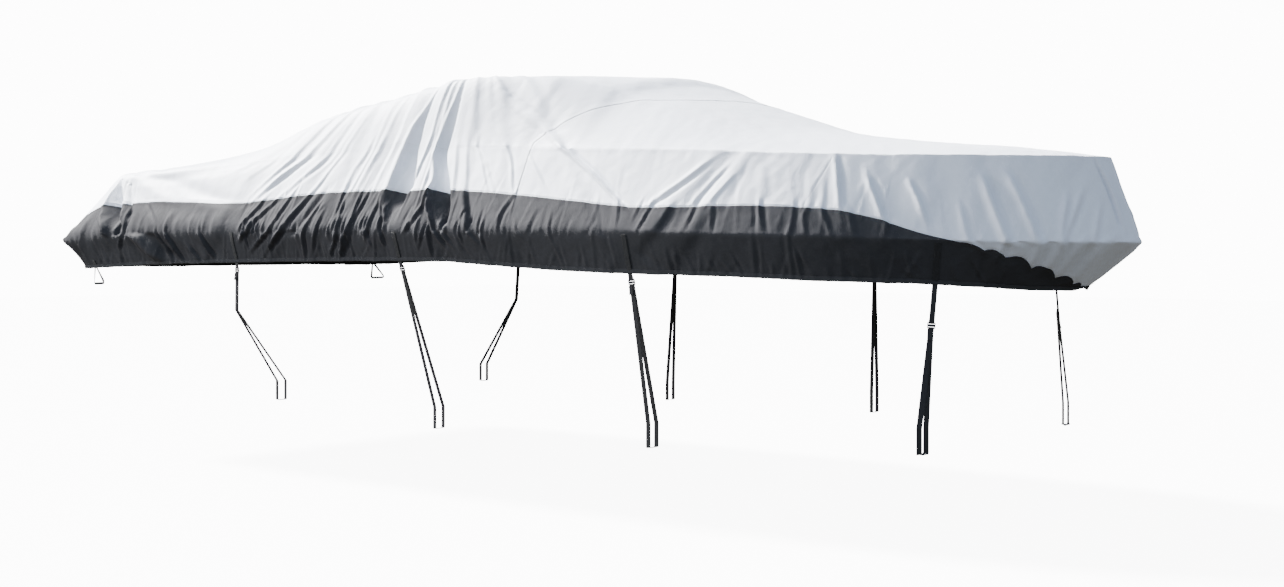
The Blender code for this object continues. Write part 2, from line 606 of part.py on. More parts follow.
def tie_down(tie, side, collection):
    """The tab over the band, its buckle, the loop of webbing round the rail, and the free tail."""
    run = run_at(tie["hem_x"], "hem_x")
    label = f"{tie['tie']}_{side}"
    sewn, directions, _ = wall_path(run, TAB_TOP, CLOTH + TAB_CLEAR + WEBBING_THICK / 2)
    hem, along = sewn[-1], directions[-1]
    middle_of_rail = tie["rail_b"] - RAIL_WIDTH / 2
    target = np.array([tie["rail_x"], middle_of_rail, tie["rail_top"]])
    if tie["tie"] == "quarter":
        target = np.array([tie["rail_x"], *QUARTER_BEND])
    down = unit(target - hem)
    out = unit(np.cross(along, down))
    out = out * math.copysign(1.0, out[1])
    square = unit(np.cross(down, out)) * math.copysign(1.0, np.dot(np.cross(down, out), along))
    radius = BUCKLE["thick"] / 2 + CLEAR + WEBBING_THICK / 2
    centre = hem + down * tie["buckle_drop"] - out * radius
    bar_from_centre = BUCKLE["height"] / 2 - BUCKLE["bar"] / 2
    upper, lower = centre - down * bar_from_centre, centre + down * bar_from_centre

    tab = sewn + bar_loop(upper, down, out, 1)
    tab.append(upper - out * radius - down * LAP)

    strap = bar_loop(lower, down, out, -1)
    rail_out = unit(np.array([0.0, 1.0, 0.0]))
    corner = np.array([tie["rail_x"], tie["rail_b"], tie["rail_top"]])
    inner = corner - rail_out * RAIL_WIDTH
    drop = np.array([0.0, 0.0, RAIL_HEIGHT])
    front, back = [], []
    if tie["tie"] == "quarter":
        bend = np.array([tie["rail_x"], *QUARTER_BEND])
        front, back = [bend + out * radius], [bend - out * radius]
    for start, end, strand in ((strap[0], corner, front), (strap[-1], inner, back)):
        for share in (0.5,) if strand else (0.25, 0.5, 0.75):
            origin = strand[0] if strand else start
            strand.append(origin + (end - origin) * share)
        strand.sort(key=lambda p: -p[2])
    rail = [corner, corner - drop, inner - drop, inner]
    loop = strap + back + rail[::-1] + front[::-1]

    flip = np.array([1, 1, 1]) if side == "port" else np.array([1, -1, 1])

    def place(point):
        return Vector((point * flip - (0, 0, MOUNT_HEIGHT)).tolist())

    directions = directions + [square] * (len(tab) - len(directions))
    parts = (("tie_tab", tab, directions, False), ("tie_down", loop, [square] * len(loop), True))
    for kind, path, across, closed in parts:
        across = [Vector((side * flip).tolist()) for side in across]
        ribbon(f"{kind}_{label}", [place(p) for p in path], across, WEBBING, WEBBING_THICK,
               WEBBING_BLACK, collection, closed)
    if tie["tail"]:
        start = lower + out * (radius + WEBBING_THICK + CLEAR) + down * TAIL_START
        start = start - square * math.copysign(TAIL_SHIFT, square[0])
        tail = [start + down * tie["tail"] * share + out * TAIL_CURL * share ** 2 for share in (0, 0.5, 1)]
        across = [Vector((square * flip).tolist())] * len(tail)
        ribbon(f"tie_tail_{label}", [place(p) for p in tail], across, WEBBING * TAIL_BREADTH, WEBBING_THICK,
               WEBBING_BLACK, collection)
    up, normal = Vector((-down * flip).tolist()), Vector((out * flip).tolist())
    frame = Matrix.Translation(place(centre)) @ Matrix((up.cross(normal), up, normal)).transposed().to_4x4()
    buckle(f"buckle_{label}", frame, collection)


def stern_tie(side, collection):
    """A thin tie at the stern corner: its middle is sewn over the band, its two legs spread below."""
    run = run_at(STERN_TIE_X, "hem_x")
    (top, hem), (_, along), outward = wall_path(run, TIE_SEWN, CLOTH + TAB_CLEAR + WEBBING_THICK / 2)
    half = along * TIE_TOP / 2
    low = hem - np.array([0.0, 0.0, TIE_DROP]) - along * TIE_SLIP
    spread = along * TIE_SPREAD / 2
    path = [top + half, hem + half, low + spread, low - spread, hem - half, top - half]
    flip = np.array([1, 1, 1]) if side == "port" else np.array([1, -1, 1])
    points = [Vector((p * flip - (0, 0, MOUNT_HEIGHT)).tolist()) for p in path]
    normal = Vector((outward * flip).tolist())
    across = []
    for i, point in enumerate(points):
        before = (point - points[i - 1]).normalized()
        after = (points[(i + 1) % len(points)] - point).normalized()
        across.append((before + after).normalized().cross(normal))
    ribbon(f"stern_tie_{side}", points, across, TIE_CORD, WEBBING_THICK, WEBBING_BLACK, collection, True)


def main():
    for obj in list(bpy.data.objects):
        bpy.data.objects.remove(obj, do_unlink=True)
    collection = new_collection("boat_cover")
    build_cloth(collection)
    for side in ("starboard", "port"):
        for tie in rows(TIES):
            tie_down(tie, side, collection)
        stern_tie(side, collection)


main()
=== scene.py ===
"""Looks of the boat cover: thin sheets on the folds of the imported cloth, with seams, hem and webbing.

Metres, +X to the bow, +Y to port, +Z up. The tables give x, half-breadth b (Y is -b to starboard) and
height above the ground, MOUNT_HEIGHT below the origin. Girth is 0 at the hem, 1 at the rub rail, 2 at
the gunwale and 4 on the centreline.
"""

import math

import bmesh
import bpy
import numpy as np
from mathutils import Matrix, Vector


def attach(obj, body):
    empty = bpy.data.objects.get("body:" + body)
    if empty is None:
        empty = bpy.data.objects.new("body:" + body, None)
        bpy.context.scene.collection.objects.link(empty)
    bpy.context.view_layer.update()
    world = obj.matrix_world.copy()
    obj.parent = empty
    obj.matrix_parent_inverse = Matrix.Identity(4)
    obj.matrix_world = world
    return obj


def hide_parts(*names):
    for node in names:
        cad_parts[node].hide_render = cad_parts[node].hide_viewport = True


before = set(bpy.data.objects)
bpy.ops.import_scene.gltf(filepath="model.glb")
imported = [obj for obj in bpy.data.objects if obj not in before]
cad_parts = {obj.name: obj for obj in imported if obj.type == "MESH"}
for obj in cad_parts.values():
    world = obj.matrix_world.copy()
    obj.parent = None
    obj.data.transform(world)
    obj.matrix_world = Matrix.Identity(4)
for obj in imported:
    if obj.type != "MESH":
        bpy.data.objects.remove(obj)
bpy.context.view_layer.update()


def read_table(text):
    """Rows by the names in the first line; each row starts with a name of its own."""
    head, *lines = [line.split() for line in text.strip().split("\n")]
    return [dict(zip(head, [name, *map(float, numbers)])) for name, *numbers in lines]


def read_rows(text):
    """Rows of numbers; a line that starts with # is a note."""
    return [[float(word) for word in line.split()] for line in text.strip().split("\n") if line[0] != "#"]


def column(table, name):
    return np.array([row[name] for row in table])


# ---------------------------------------------------------------- the shape, as in the part's source

MOUNT_HEIGHT = 2.130
CROWN_SEAM_X, CROWN_SEAM_REACH, CROWN_SEAM_BREADTH = 0.10, 0.59, 0.98
CROWN_SEAM_AHEAD, CROWN_SEAM_BEHIND = 1.75, 1.40
STERN_EDGE_BLEND = 0.60
BAND_END = 0.030                # a column stands this far from the stem

RIBS = read_table("""
rib           rail_x rail_b rail_z  hem_x  hem_b  hem_z seam_z  gun_x  gun_b  gun_z
stem           2.740  0.000  1.260  2.490  0.000  1.060  1.060  2.610  0.000  1.634
nose           2.715  0.100  1.261  2.475  0.070  1.055  1.080  2.590  0.075  1.634
bow            2.620  0.260  1.262  2.420  0.190  1.058  1.116  2.510  0.195  1.635
bow_flare      2.460  0.430  1.264  2.310  0.360  1.067  1.180  2.360  0.335  1.637
bow_quarter    2.270  0.580  1.268  2.180  0.515  1.078  1.245  2.180  0.465  1.640
tie_four       2.090  0.700  1.273  2.050  0.635  1.088  1.296  2.010  0.565  1.643
fore_shoulder  1.870  0.830  1.280  1.840  0.770  1.095  1.372  1.845  0.648  1.646
side_seam      1.660  0.930  1.288  1.650  0.870  1.100  1.407  1.700  0.712  1.650
foredeck       1.300  1.045  1.297  1.300  0.985  1.115  1.424  1.300  0.845  1.668
fore_cockpit   0.900  1.125  1.308  0.900  1.070  1.123  1.419  0.900  0.925  1.690
dash           0.500  1.165  1.313  0.500  1.115  1.132  1.452  0.500  0.975  1.705
crown_seam     0.100  1.185  1.318  0.100  1.135  1.150  1.492  0.100  0.995  1.722
windscreen    -0.450  1.200  1.325 -0.450  1.150  1.174  1.526 -0.450  1.005  1.741
cockpit       -1.200  1.200  1.330 -1.200  1.150  1.168  1.530 -1.200  1.010  1.738
aft_cockpit   -2.000  1.200  1.332 -2.000  1.150  1.155  1.488 -2.000  1.010  1.722
engine        -2.800  1.200  1.325 -2.800  1.145  1.138  1.507 -2.800  1.005  1.708
quarter       -3.400  1.197  1.310 -3.380  1.130  1.115  1.492 -3.250  1.000  1.700
corner_start  -3.660  1.170  1.293 -3.550  1.100  1.110  1.440 -3.370  0.970  1.695
corner        -3.765  1.115  1.284 -3.630  1.050  1.110  1.340 -3.420  0.920  1.693
corner_end    -3.820  1.000  1.280 -3.680  0.950  1.110  1.300 -3.445  0.820  1.694
stern_half    -3.830  0.500  1.280 -3.695  0.480  1.110  1.297 -3.460  0.420  1.700
stern_middle  -3.830  0.000  1.280 -3.695  0.000  1.110  1.297 -3.460  0.000  1.706
""")

TOP = read_table("""
station        x ridge_z shoulder_share shoulder_z
stern      -3.46   1.706           0.70      1.700
engine     -3.00   1.762           0.76      1.733
aft        -2.20   1.887           0.84      1.800
cockpit    -1.50   2.020           0.86      1.970
slope      -0.95   2.082           0.87      2.044
glass_aft  -0.45   2.128           0.86      2.108
crown       0.00   2.130           0.76      2.096
glass_fore  0.32   2.121           0.66      2.035
glass_foot  0.46   2.062           0.62      1.982
crown_seam  0.66   1.990           0.60      1.932
foot        1.30   1.798           0.60      1.762
foredeck    1.80   1.730           0.62      1.706
bow_deck    2.20   1.692           0.64      1.678
stem        2.61   1.634           0.70      1.634
""")

PLEATS = read_table("""
pleat            top top_x gun_x hem_x crest valley width
great_valley    2.75 -0.72 -0.74 -0.78 0.016  0.022 0.075
corner_valley   2.75 -0.52 -0.53 -0.36 0.014  0.020 0.065
corner_thin     2.70 -0.45 -0.29  0.00 0.006  0.008 0.040
corner_fore     2.65 -0.37 -0.05  0.18 0.008  0.008 0.050
long_diagonal   2.60 -0.30  0.34  0.98 0.010  0.010 0.055
crown_drop      2.40  0.10  0.06  0.14 0.005  0.006 0.050
tent_first      2.70 -0.86 -0.95 -1.06 0.010  0.010 0.060
tent_second     2.70 -1.00 -1.18 -1.32 0.010  0.012 0.060
tent_third      2.65 -1.12 -1.40 -1.66 0.010  0.012 0.065
tent_fourth     2.60 -1.30 -1.66 -1.98 0.012  0.012 0.070
tent_fifth      2.50 -1.45 -1.92 -2.24 0.010  0.012 0.075
engine_swag     2.30 -3.25 -2.95 -2.10 0.012  0.012 0.110
stern_corner    2.20 -3.34 -3.34 -3.44 0.010  0.010 0.060
fore_diagonal   1.98  1.20  1.20  0.72 0.014  0.014 0.060
fore_diagonal_2 1.95  1.32  1.32  1.00 0.010  0.010 0.055
shoulder_drop   1.92  1.72  1.72  1.98 0.008  0.010 0.060
bow_drop        1.90  1.83  1.83  2.10 0.008  0.010 0.060
flare_drop      1.85  2.03  2.03  2.20 0.006  0.008 0.055
stem_drop       1.85  2.20  2.20  2.42 0.006  0.008 0.050
""")
PLEAT_FADE = 0.35

TIES = read_table("""
tie         hem_x  rail_x  rail_b  rail_top  buckle_drop   tail
quarter    -1.985  -2.000   0.860     0.470        0.045  0.040
cockpit    -0.657  -0.560   1.000     0.420        0.045  0.000
foredeck    0.800   0.851   1.020     0.435        0.045  0.040
bow         2.090   2.090   0.750     0.477        0.180  0.050
""")
STERN_TIE_X = -3.410
TIE_FLAT, TIE_CALM = 0.020, 0.080
CLOTH = 0.002
WEBBING, WEBBING_THICK = 0.025, 0.0016
TAB_TOP = 2.85 / 3              # girth of the band where a tab starts, just under the rail
TAB_CLEAR, CLEAR = 0.0006, 0.0004
TAIL_SHIFT, TAIL_BREADTH, TAIL_START, TAIL_CURL = 0.006, 0.8, 0.004, 0.007
RAIL_WIDTH, RAIL_HEIGHT = 0.060, 0.110
BUCKLE = {"width": 0.036, "height": 0.027, "thick": 0.004, "bar": 0.005, "slot": 0.0022, "side": 0.0035}
TIE_CORD, TIE_DROP, TIE_SPREAD, TIE_SLIP, TIE_TOP, TIE_SEWN = 0.016, 0.100, 0.130, 0.045, 0.0175, 0.2
QUARTER_BEND = (1.142, 0.885)   # half-breadth and height where the quarter strap bends at the fender

# ---------------------------------------------------------------- small creases

# Each crease: how far it stands out (or sinks in), its half-width, how deep a valley it has beside it
# on its forward side (+) or after side (-), as a share, and its path as x and girth from the top down.
CREASES = read_rows("""
# fan from the windscreen's corner
  0.006 0.016 -0.7  -0.98 2.20  -1.04 1.83  -1.10 1.40
  0.006 0.018 -0.8  -0.86 2.35  -0.99 1.90  -1.05 1.40
  0.006 0.018 -0.8  -0.76 2.40  -0.88 1.84  -0.92 1.35
 0.0067 0.011  0.8  -0.50 2.50  -0.61 1.98  -0.65 1.20
 0.0067 0.010 -0.6  -0.47 2.50  -0.54 2.07  -0.54 1.25
 0.0048 0.010  0.9  -0.42 2.45  -0.33 2.12  -0.27 2.02  -0.09 1.48
  0.005 0.011  0.9  -0.37 2.45  -0.21 2.12  -0.06 2.00   0.07 1.48
  0.017 0.009  1.0  -0.31 2.36  -0.19 2.24   0.15 2.12   0.45 1.80   0.74 1.33
  0.004 0.012  0.8   0.09 1.93   0.17 1.75   0.25 1.56
  0.006 0.016  0.5  -0.41 2.05  -0.36 1.75  -0.32 1.45
  0.004 0.014  0.6  -0.33 2.02  -0.23 1.45
  0.004 0.012  0.6  -0.22 1.95  -0.06 1.50
# tent aft of the windscreen
  0.009 0.016  1.0  -1.24 2.45  -1.45 2.12  -1.66 1.85  -1.84 1.50
 0.0047 0.015  0.9  -1.20 2.40  -1.38 1.98  -1.57 1.62  -1.66 1.42
  0.006 0.024  0.6  -1.70 2.50  -1.89 2.17  -2.10 1.95
 0.0042 0.013  0.8  -1.16 2.20  -1.30 1.86  -1.40 1.45
 0.0037 0.016  0.8  -1.02 2.10  -1.12 1.79  -1.16 1.42
 0.0056 0.014  0.8  -1.28 2.60  -1.52 2.22  -1.70 1.95  -1.88 1.60
 0.0031 0.016  0.7  -1.06 2.50  -1.25 2.10  -1.42 1.75
 0.0031 0.018  0.7  -1.45 2.60  -1.72 2.20  -1.98 1.80
 -0.012 0.050 -0.7  -2.90 1.92  -2.52 1.65  -2.12 1.40
 -0.008 0.045 -0.6  -3.15 2.02  -2.81 1.71  -2.60 1.50
 -0.008 0.060 -0.6  -2.15 2.06  -2.45 1.93  -2.89 1.80
  0.008 0.016  0.8  -3.24 1.88  -3.19 1.50
 -0.005 0.012  0.6  -3.10 1.75  -3.04 1.50
# band, stern to first strap
  0.007 0.013  0.9  -3.17 1.50  -3.15 1.25  -3.13 0.92
 0.0049 0.011  0.9  -3.08 1.45  -3.06 1.24  -3.03 1.00
  0.008 0.009  0.6  -3.05 0.95  -3.10 0.55
 -0.007 0.012  0.5  -2.89 1.46  -2.76 1.20
  0.022 0.045  0.9  -2.93 1.05  -2.81 0.60  -2.69 0.12
  0.012 0.010  0.8  -2.70 1.00  -2.60 0.09
  0.013 0.010  0.8  -2.60 1.05  -2.49 0.05
  0.012 0.010  0.8  -2.28 1.05  -2.20 0.20
  0.010 0.010  0.8  -2.41 0.60  -2.33 0.08
# band, first to second strap
 -0.008 0.016 -0.5  -1.92 1.42  -1.95 1.05
 0.0072 0.012  0.9  -1.79 1.42  -1.82 1.31  -1.93 1.00
  0.008 0.012  0.9  -1.67 1.45  -1.83 1.06  -1.93 0.62
  0.008 0.012  0.9  -1.56 1.48  -1.65 1.04  -1.83 0.38
 0.0104 0.014  1.2  -1.40 1.53  -1.53 1.09  -1.67 0.45
-0.0128 0.024  0.0  -1.28 1.52  -1.37 1.21  -1.46 0.90
 0.0072 0.011  0.9  -1.29 1.40  -1.37 0.89  -1.39 0.10
 0.0048 0.010  0.8  -1.25 1.20  -1.32 0.30
 0.0072 0.011  0.9  -1.12 1.45  -1.10 1.00  -1.18 0.20
 0.0072 0.011  0.9  -1.00 1.45  -1.00 1.00  -1.09 0.20
  0.007 0.012  0.8  -1.14 1.55  -1.15 1.20
  0.009 0.011  0.9  -0.95 1.45  -1.01 1.01  -1.10 0.22
  0.008 0.011  0.9  -0.83 1.42  -0.86 1.06  -0.88 0.70
  0.008 0.010  0.9  -0.81 1.35  -0.78 1.11  -0.75 0.45
  0.010 0.011  0.9  -0.48 1.50  -0.50 1.30  -0.59 0.95
  0.010 0.010  0.9  -0.47 1.42  -0.45 1.26  -0.40 1.09  -0.32 0.50
  0.005 0.009  0.8  -0.44 1.10  -0.50 0.40
  0.005 0.009  0.8  -0.42 1.10  -0.42 0.20
 -0.011 0.018 -0.7  -0.23 1.50  -0.16 1.21  -0.08 0.95
  0.006 0.009  0.8  -0.35 1.15  -0.26 0.50
  0.006 0.009  0.8  -0.17 1.12  -0.08 0.60
  0.005 0.010  0.8   0.15 1.10   0.21 0.82
  0.004 0.012  0.7   0.09 1.45   0.04 1.16   0.06 0.92
  0.005 0.008  0.9   0.72 1.36   0.75 1.08
  0.006 0.008  0.9   0.84 1.36   0.82 1.08
  0.006 0.008  0.9   0.90 1.36   0.86 0.98
# side panel amidships
 0.0068 0.013  1.1   1.10 1.83   1.05 1.69   0.89 1.33
 0.0052 0.011  0.9   1.20 1.80   1.16 1.64   1.09 1.33
 0.0035 0.010  0.8   1.25 1.70   1.17 1.34
-0.0018 0.014  0.4   1.30 1.85   1.27 1.34
-0.0018 0.020 -0.8   1.38 1.92   1.45 1.45
 0.0012 0.014  0.8   1.50 1.75   1.55 1.36
-0.0018 0.014  0.7   1.56 1.75   1.60 1.36
 0.0024 0.012  0.8   1.65 1.62   1.67 1.34
  0.008 0.014  1.0   1.67 1.93   1.70 1.70   1.75 1.28
  0.009 0.013  1.0   1.82 1.70   1.86 1.50   1.93 1.15
# band amidships
 -0.006 0.014 -0.6   1.02 1.32   0.98 1.02
-0.0054 0.011 -0.6   1.13 1.38   1.11 1.02
-0.0042 0.010 -0.6   1.21 1.36   1.24 1.02
-0.0048 0.010  0.6   1.39 1.38   1.43 1.02
-0.0054 0.012 -0.6   1.42 1.38   1.48 1.02
-0.0048 0.010 -0.6   1.57 1.38   1.59 1.02
 0.0042 0.010  0.8   1.62 1.36   1.61 1.24   1.64 1.02
 0.0048 0.010  0.8   1.66 1.36   1.74 1.02
 0.0048 0.012  0.8   1.77 1.34   1.83 1.02
 0.0036 0.009  0.8   1.94 1.22   1.94 1.02
# bow side
  0.010 0.013  1.0   1.99 1.62   2.03 1.45   2.10 1.08
 0.0180 0.018  1.0   2.25 1.68   2.28 1.50   2.37 1.00
 0.0174 0.017  1.0   2.34 1.70   2.38 1.50   2.47 1.00
  0.006 0.012  0.8   2.19 1.35   2.27 0.80
  0.010 0.011  0.8   2.53 1.50   2.54 1.00
  0.009 0.010  0.8   2.57 1.55   2.55 0.95
  0.008 0.009  0.8   2.63 1.40   2.64 0.98
 -0.018 0.003  0.6  2.598 1.88  2.641 1.60  2.692 1.22
  0.008 0.013  0.9   2.36 0.98   2.31 0.55
  0.010 0.014  0.8   2.48 0.98   2.40 0.40
  0.010 0.014  0.8   2.55 0.98   2.44 0.36
  0.010 0.014  0.8   2.60 0.98   2.47 0.30
  0.010 0.014  0.8   2.67 0.98   2.50 0.20
""")

# The troughs: how steeply each turns on the side and on the top, then girth, and x of its crest and bottom.
TROUGHS = (
    # under the windscreen's corner
    (0.44, 0.44, (2.42, -0.605, -0.600), (2.30, -0.640, -0.630), (2.17, -0.690, -0.668),
     (2.05, -0.766, -0.706), (1.89, -0.787, -0.691), (1.55, -0.787, -0.655), (1.42, -0.805, -0.676),
     (1.22, -0.760, -0.676), (1.10, -0.730, -0.680)),
    (0.62, 0.46, (2.35, -0.475, -0.460), (2.19, -0.484, -0.459), (2.08, -0.520, -0.469),
     (2.00, -0.540, -0.480), (1.55, -0.479, -0.383), (1.46, -0.479, -0.368), (1.25, -0.440, -0.330),
     (1.08, -0.383, -0.307)),
    # at the stern corner
    (0.50, 0.50, (1.92, -3.330, -3.310), (1.81, -3.326, -3.290), (1.64, -3.336, -3.235),
     (1.475, -3.336, -3.195), (1.31, -3.318, -3.165), (1.04, -3.225, -3.090), (0.95, -3.190, -3.120)),
    (0.45, 0.45, (1.80, -3.200, -3.170), (1.70, -3.187, -3.148), (1.45, -3.145, -3.074),
     (1.175, -3.093, -3.010), (0.88, -3.080, -3.020)),
)
TROUGH_CREST = 0.35             # share of a trough's depth that its crest stands out
TROUGH_BACK = 0.010             # its way back up, besides a quarter of its width

# ---------------------------------------------------------------- the shape from the tables


def pchip(x, xs, ys):
    """Monotone cubic through points whose xs and ys are numbers or arrays shaped like x."""
    count = len(xs)
    steps = [xs[i + 1] - xs[i] for i in range(count - 1)]
    slopes = [(ys[i + 1] - ys[i]) / steps[i] for i in range(count - 1)]
    tangents = [slopes[0]]
    for i in range(1, count - 1):
        w1, w2 = 2 * steps[i] + steps[i - 1], steps[i] + 2 * steps[i - 1]
        before, after = slopes[i - 1], slopes[i]
        same = before * after > 0
        mean = (w1 + w2) / (w1 / np.where(same, before, 1.0) + w2 / np.where(same, after, 1.0))
        tangents.append(np.where(same, mean, 0.0))
    tangents.append(slopes[-1])
    out = np.zeros(np.broadcast(x, *[np.asarray(a) for a in xs]).shape)
    for i in range(count - 1):
        low = xs[i] if i else -np.inf
        high = xs[i + 1] if i < count - 2 else np.inf
        u = (x - xs[i]) / steps[i]
        piece = ys[i] * (1 + 2 * u) * (1 - u) ** 2 + tangents[i] * steps[i] * u * (1 - u) ** 2
        piece = piece + ys[i + 1] * u * u * (3 - 2 * u) + tangents[i + 1] * steps[i] * u * u * (u - 1)
        out = np.where((x > low) & (x <= high), piece, out)
    return out


def ease(u):
    u = np.clip(u, 0.0, 1.0)
    return u * u * (3 - 2 * u)


RAIL = np.column_stack([column(RIBS, "rail_x"), column(RIBS, "rail_b")])
RUN = np.concatenate([[0.0], np.cumsum(np.linalg.norm(np.diff(RAIL, axis=0), axis=1))])
RIB_NAMES = list(column(RIBS, "rib"))
MIRRORED_RUN = [-RUN[1], *RUN]


def rib_run(name):
    return float(RUN[RIB_NAMES.index(name)])


def rib(run, name):
    """A named measure of the rib at distances along the rail from the stem."""
    values = column(RIBS, name)
    mirrored = -values[1] if name.endswith("_b") else values[1]
    return pchip(np.asarray(run, float), MIRRORED_RUN, [mirrored, *values])


def rib_point(run, name):
    return np.stack([rib(run, name + end) for end in ("_x", "_b", "_z")], axis=-1)


def run_at(x):
    """Distance along the rail of the rib whose hem is at x."""
    runs = np.linspace(0, rib_run("corner_end"), 4000)
    return float(np.interp(-x, -rib(runs, "hem_x"), runs))


CORNER = rib_run("corner")
LAP = 0.006                     # a sewn piece reaches this far over its neighbour
STEPS = ((2.75, 0.0055), (1.95, 0.008), (1.66, 0.009), (0.90, 0.008), (0.10, 0.0065), (-2.10, 0.010),
         (-3.38, 0.008))        # from each x aft, the columns are this far apart
BAND_ROWS = (18, 22)            # below and above the knee
KNEE_REACH = 0.03               # girth either side of the rail's line that has rows close together
LAP_ROWS = 4                    # across the lap at the band's seam
SIDE_ROWS = (6, 4, 28)          # up to the knee at the rail, across it, and on to the gunwale
TOP_STEPS = (0.008, 0.024)      # shares between columns of the top, at the gunwale and at the centreline
TOP_STEPS_TURN = 0.72           # share at which they start to widen

# The scallops near the bow: where they meet, along the rail, how high each stands, and how far the
# seam between them is drawn down.
NOTCHES = (0.060, 0.155, 0.310, 0.465, 0.612, 0.720, 0.830)
SCALLOPS = (0.010, 0.023, 0.027, 0.025, 0.017, 0.009)
SCALLOP_DROP = (0.0, 0.012, 0.015, 0.015, 0.012, 0.007, 0.0)


def run_columns():
    """Distances along the rail of the columns, close together at the seams that cross them."""
    marks = {0.0, BAND_END, CORNER, CORNER - LAP, CORNER - LAP / 2}
    for seam in ("side_seam", "crown_seam"):
        marks |= {rib_run(seam) + LAP * share for share in (-1, -0.5, 0, 0.5, 1)}
    marks = sorted(marks)
    out = [marks[0]]
    for start, end in zip(marks, marks[1:]):
        here = start
        while here < end - 1e-6:
            x = float(rib(here, "rail_x"))
            step = [step for foremost, step in STEPS if foremost >= x][-1]
            here = here + step
            if here > end - 0.5 * step:
                here = end
            out.append(here)
    return np.array(out)


def seam_girth(run):
    """Girth of the band's upper seam, which is scalloped towards the bow."""
    seam, hem, rail, gun = (rib(run, name + "_z") for name in ("seam", "hem", "rail", "gun"))
    place = np.interp(run, NOTCHES, np.arange(len(NOTCHES)))
    size = np.array((*SCALLOPS, 0.0))[place.astype(int)]
    seam = seam + size * np.abs(np.sin(np.pi * place)) ** 0.8
    seam = seam - np.interp(run, NOTCHES, SCALLOP_DROP)
    return np.where(seam < rail, (seam - hem) / (rail - hem), 1 + (seam - rail) / (gun - rail))


def wall_girths(run):
    """Girths of the rows from hem to gunwale, one set a column, and the index of the seam's row."""
    seam = seam_girth(run)
    low = np.linalg.norm(rib_point(run, "rail") - rib_point(run, "hem"), axis=-1)
    high = np.linalg.norm(rib_point(run, "gun") - rib_point(run, "rail"), axis=-1)
    lap = np.minimum(LAP / np.where(seam < 1, low, high), 0.2 * seam + 1e-4)
    knee = np.minimum(1.0, seam * (0.8 + 0.15 * ease((seam - 0.9) / 0.15)))
    side_knee = np.maximum(1.0, seam + lap + KNEE_REACH * 1.5)
    zero = 0 * seam
    ends = (knee, seam - lap, seam + lap, side_knee - KNEE_REACH, side_knee + KNEE_REACH, 2 - LAP / high,
            zero + 2)
    start, girths = zero, [zero[:, None]]
    for end, parts in zip(ends, (*BAND_ROWS, LAP_ROWS, *SIDE_ROWS, LAP_ROWS // 2)):
        girths.append(start[:, None] + (end - start)[:, None] * np.linspace(0, 1, parts + 1)[1:])
        start = end
    return np.concatenate(girths, axis=1), sum(BAND_ROWS) + LAP_ROWS // 2


def wall(run, girth):
    """Starboard wall: straight from the hem to the rail and from the rail to the gunwale."""
    hem, rail, gun = (rib_point(run, name)[:, None] for name in ("hem", "rail", "gun"))
    g = girth[..., None]
    return np.where(g <= 1, hem + (rail - hem) * g, rail + (gun - rail) * (g - 1))


def top_height(x, share, gun_z):
    ridge, breadth, shoulder = (pchip(x, column(TOP, "x"), column(TOP, name))
                                for name in ("ridge_z", "shoulder_share", "shoulder_z"))
    heights = [shoulder, ridge, shoulder, gun_z + 0 * x]
    return pchip(np.abs(share), [-breadth, 0 * x, breadth, 0 * x + 1], heights)


def top_shares():
    """Shares of the half-breadth of the top's columns, from the starboard gunwale to the port one."""
    steps = [1 - LAP]
    while steps[-1] > 0:
        middle = ease((TOP_STEPS_TURN - steps[-1]) / 0.5)
        steps.append(steps[-1] - TOP_STEPS[0] - (TOP_STEPS[1] - TOP_STEPS[0]) * middle)
    half = np.concatenate([[1, 1 - LAP / 2], steps[:-1], [0]])
    return np.concatenate([half, -half[-2::-1]])


def top(run, share):
    """The top at each rib and share of the half-breadth."""
    gun = rib_point(run, "gun")[:, None]
    s = np.broadcast_to(share[None], (len(run), len(share)))
    bend = CROWN_SEAM_REACH * np.maximum(0.0, 1 - (np.abs(s) / CROWN_SEAM_BREADTH) ** 3)
    from_seam = gun[..., 0] - CROWN_SEAM_X
    length = np.where(from_seam > 0, CROWN_SEAM_AHEAD, CROWN_SEAM_BEHIND)
    x = gun[..., 0] + bend * ease(1 - np.abs(from_seam) / length)
    point = np.stack([x, s * gun[..., 1], top_height(x, s, gun[..., 2])], axis=-1)
    stern = rib_point(CORNER + (RUN[-1] - CORNER) * (1 - np.abs(share)), "gun")
    stern[:, 1] *= np.where(share < 0, -1, 1)
    last = rib_point(np.array([CORNER]), "gun")[0]
    blend = ease(1 - (gun[..., 0] - last[0]) / STERN_EDGE_BLEND)
    last_x = last[0] + 0 * share
    straight = np.stack([last_x, share * last[1], top_height(last_x, share, last[2])], axis=-1)
    return point + (stern - straight)[None] * blend[..., None]


# ---------------------------------------------------------------- folds


def pleat_rise(x, girth):
    """The part's own pleats."""
    rise = np.zeros_like(x)
    for pleat in PLEATS:
        fade = ease((pleat["top"] + PLEAT_FADE - girth) / PLEAT_FADE)
        low = pleat["hem_x"] + (pleat["gun_x"] - pleat["hem_x"]) * girth / 2
        reach = (girth - 2) / max(pleat["top"] - 2, 0.01)
        high = pleat["gun_x"] + (pleat["top_x"] - pleat["gun_x"]) * np.minimum(reach, 1.4)
        offset = x - np.where(girth <= 2, low, high)
        width = pleat["width"]
        crest = pleat["crest"] * np.exp(-(((offset + width / 2) / width) ** 2))
        valley = pleat["valley"] * np.exp(-(((offset - width / 2) / width) ** 2))
        rise += (crest - valley) * fade
    return rise


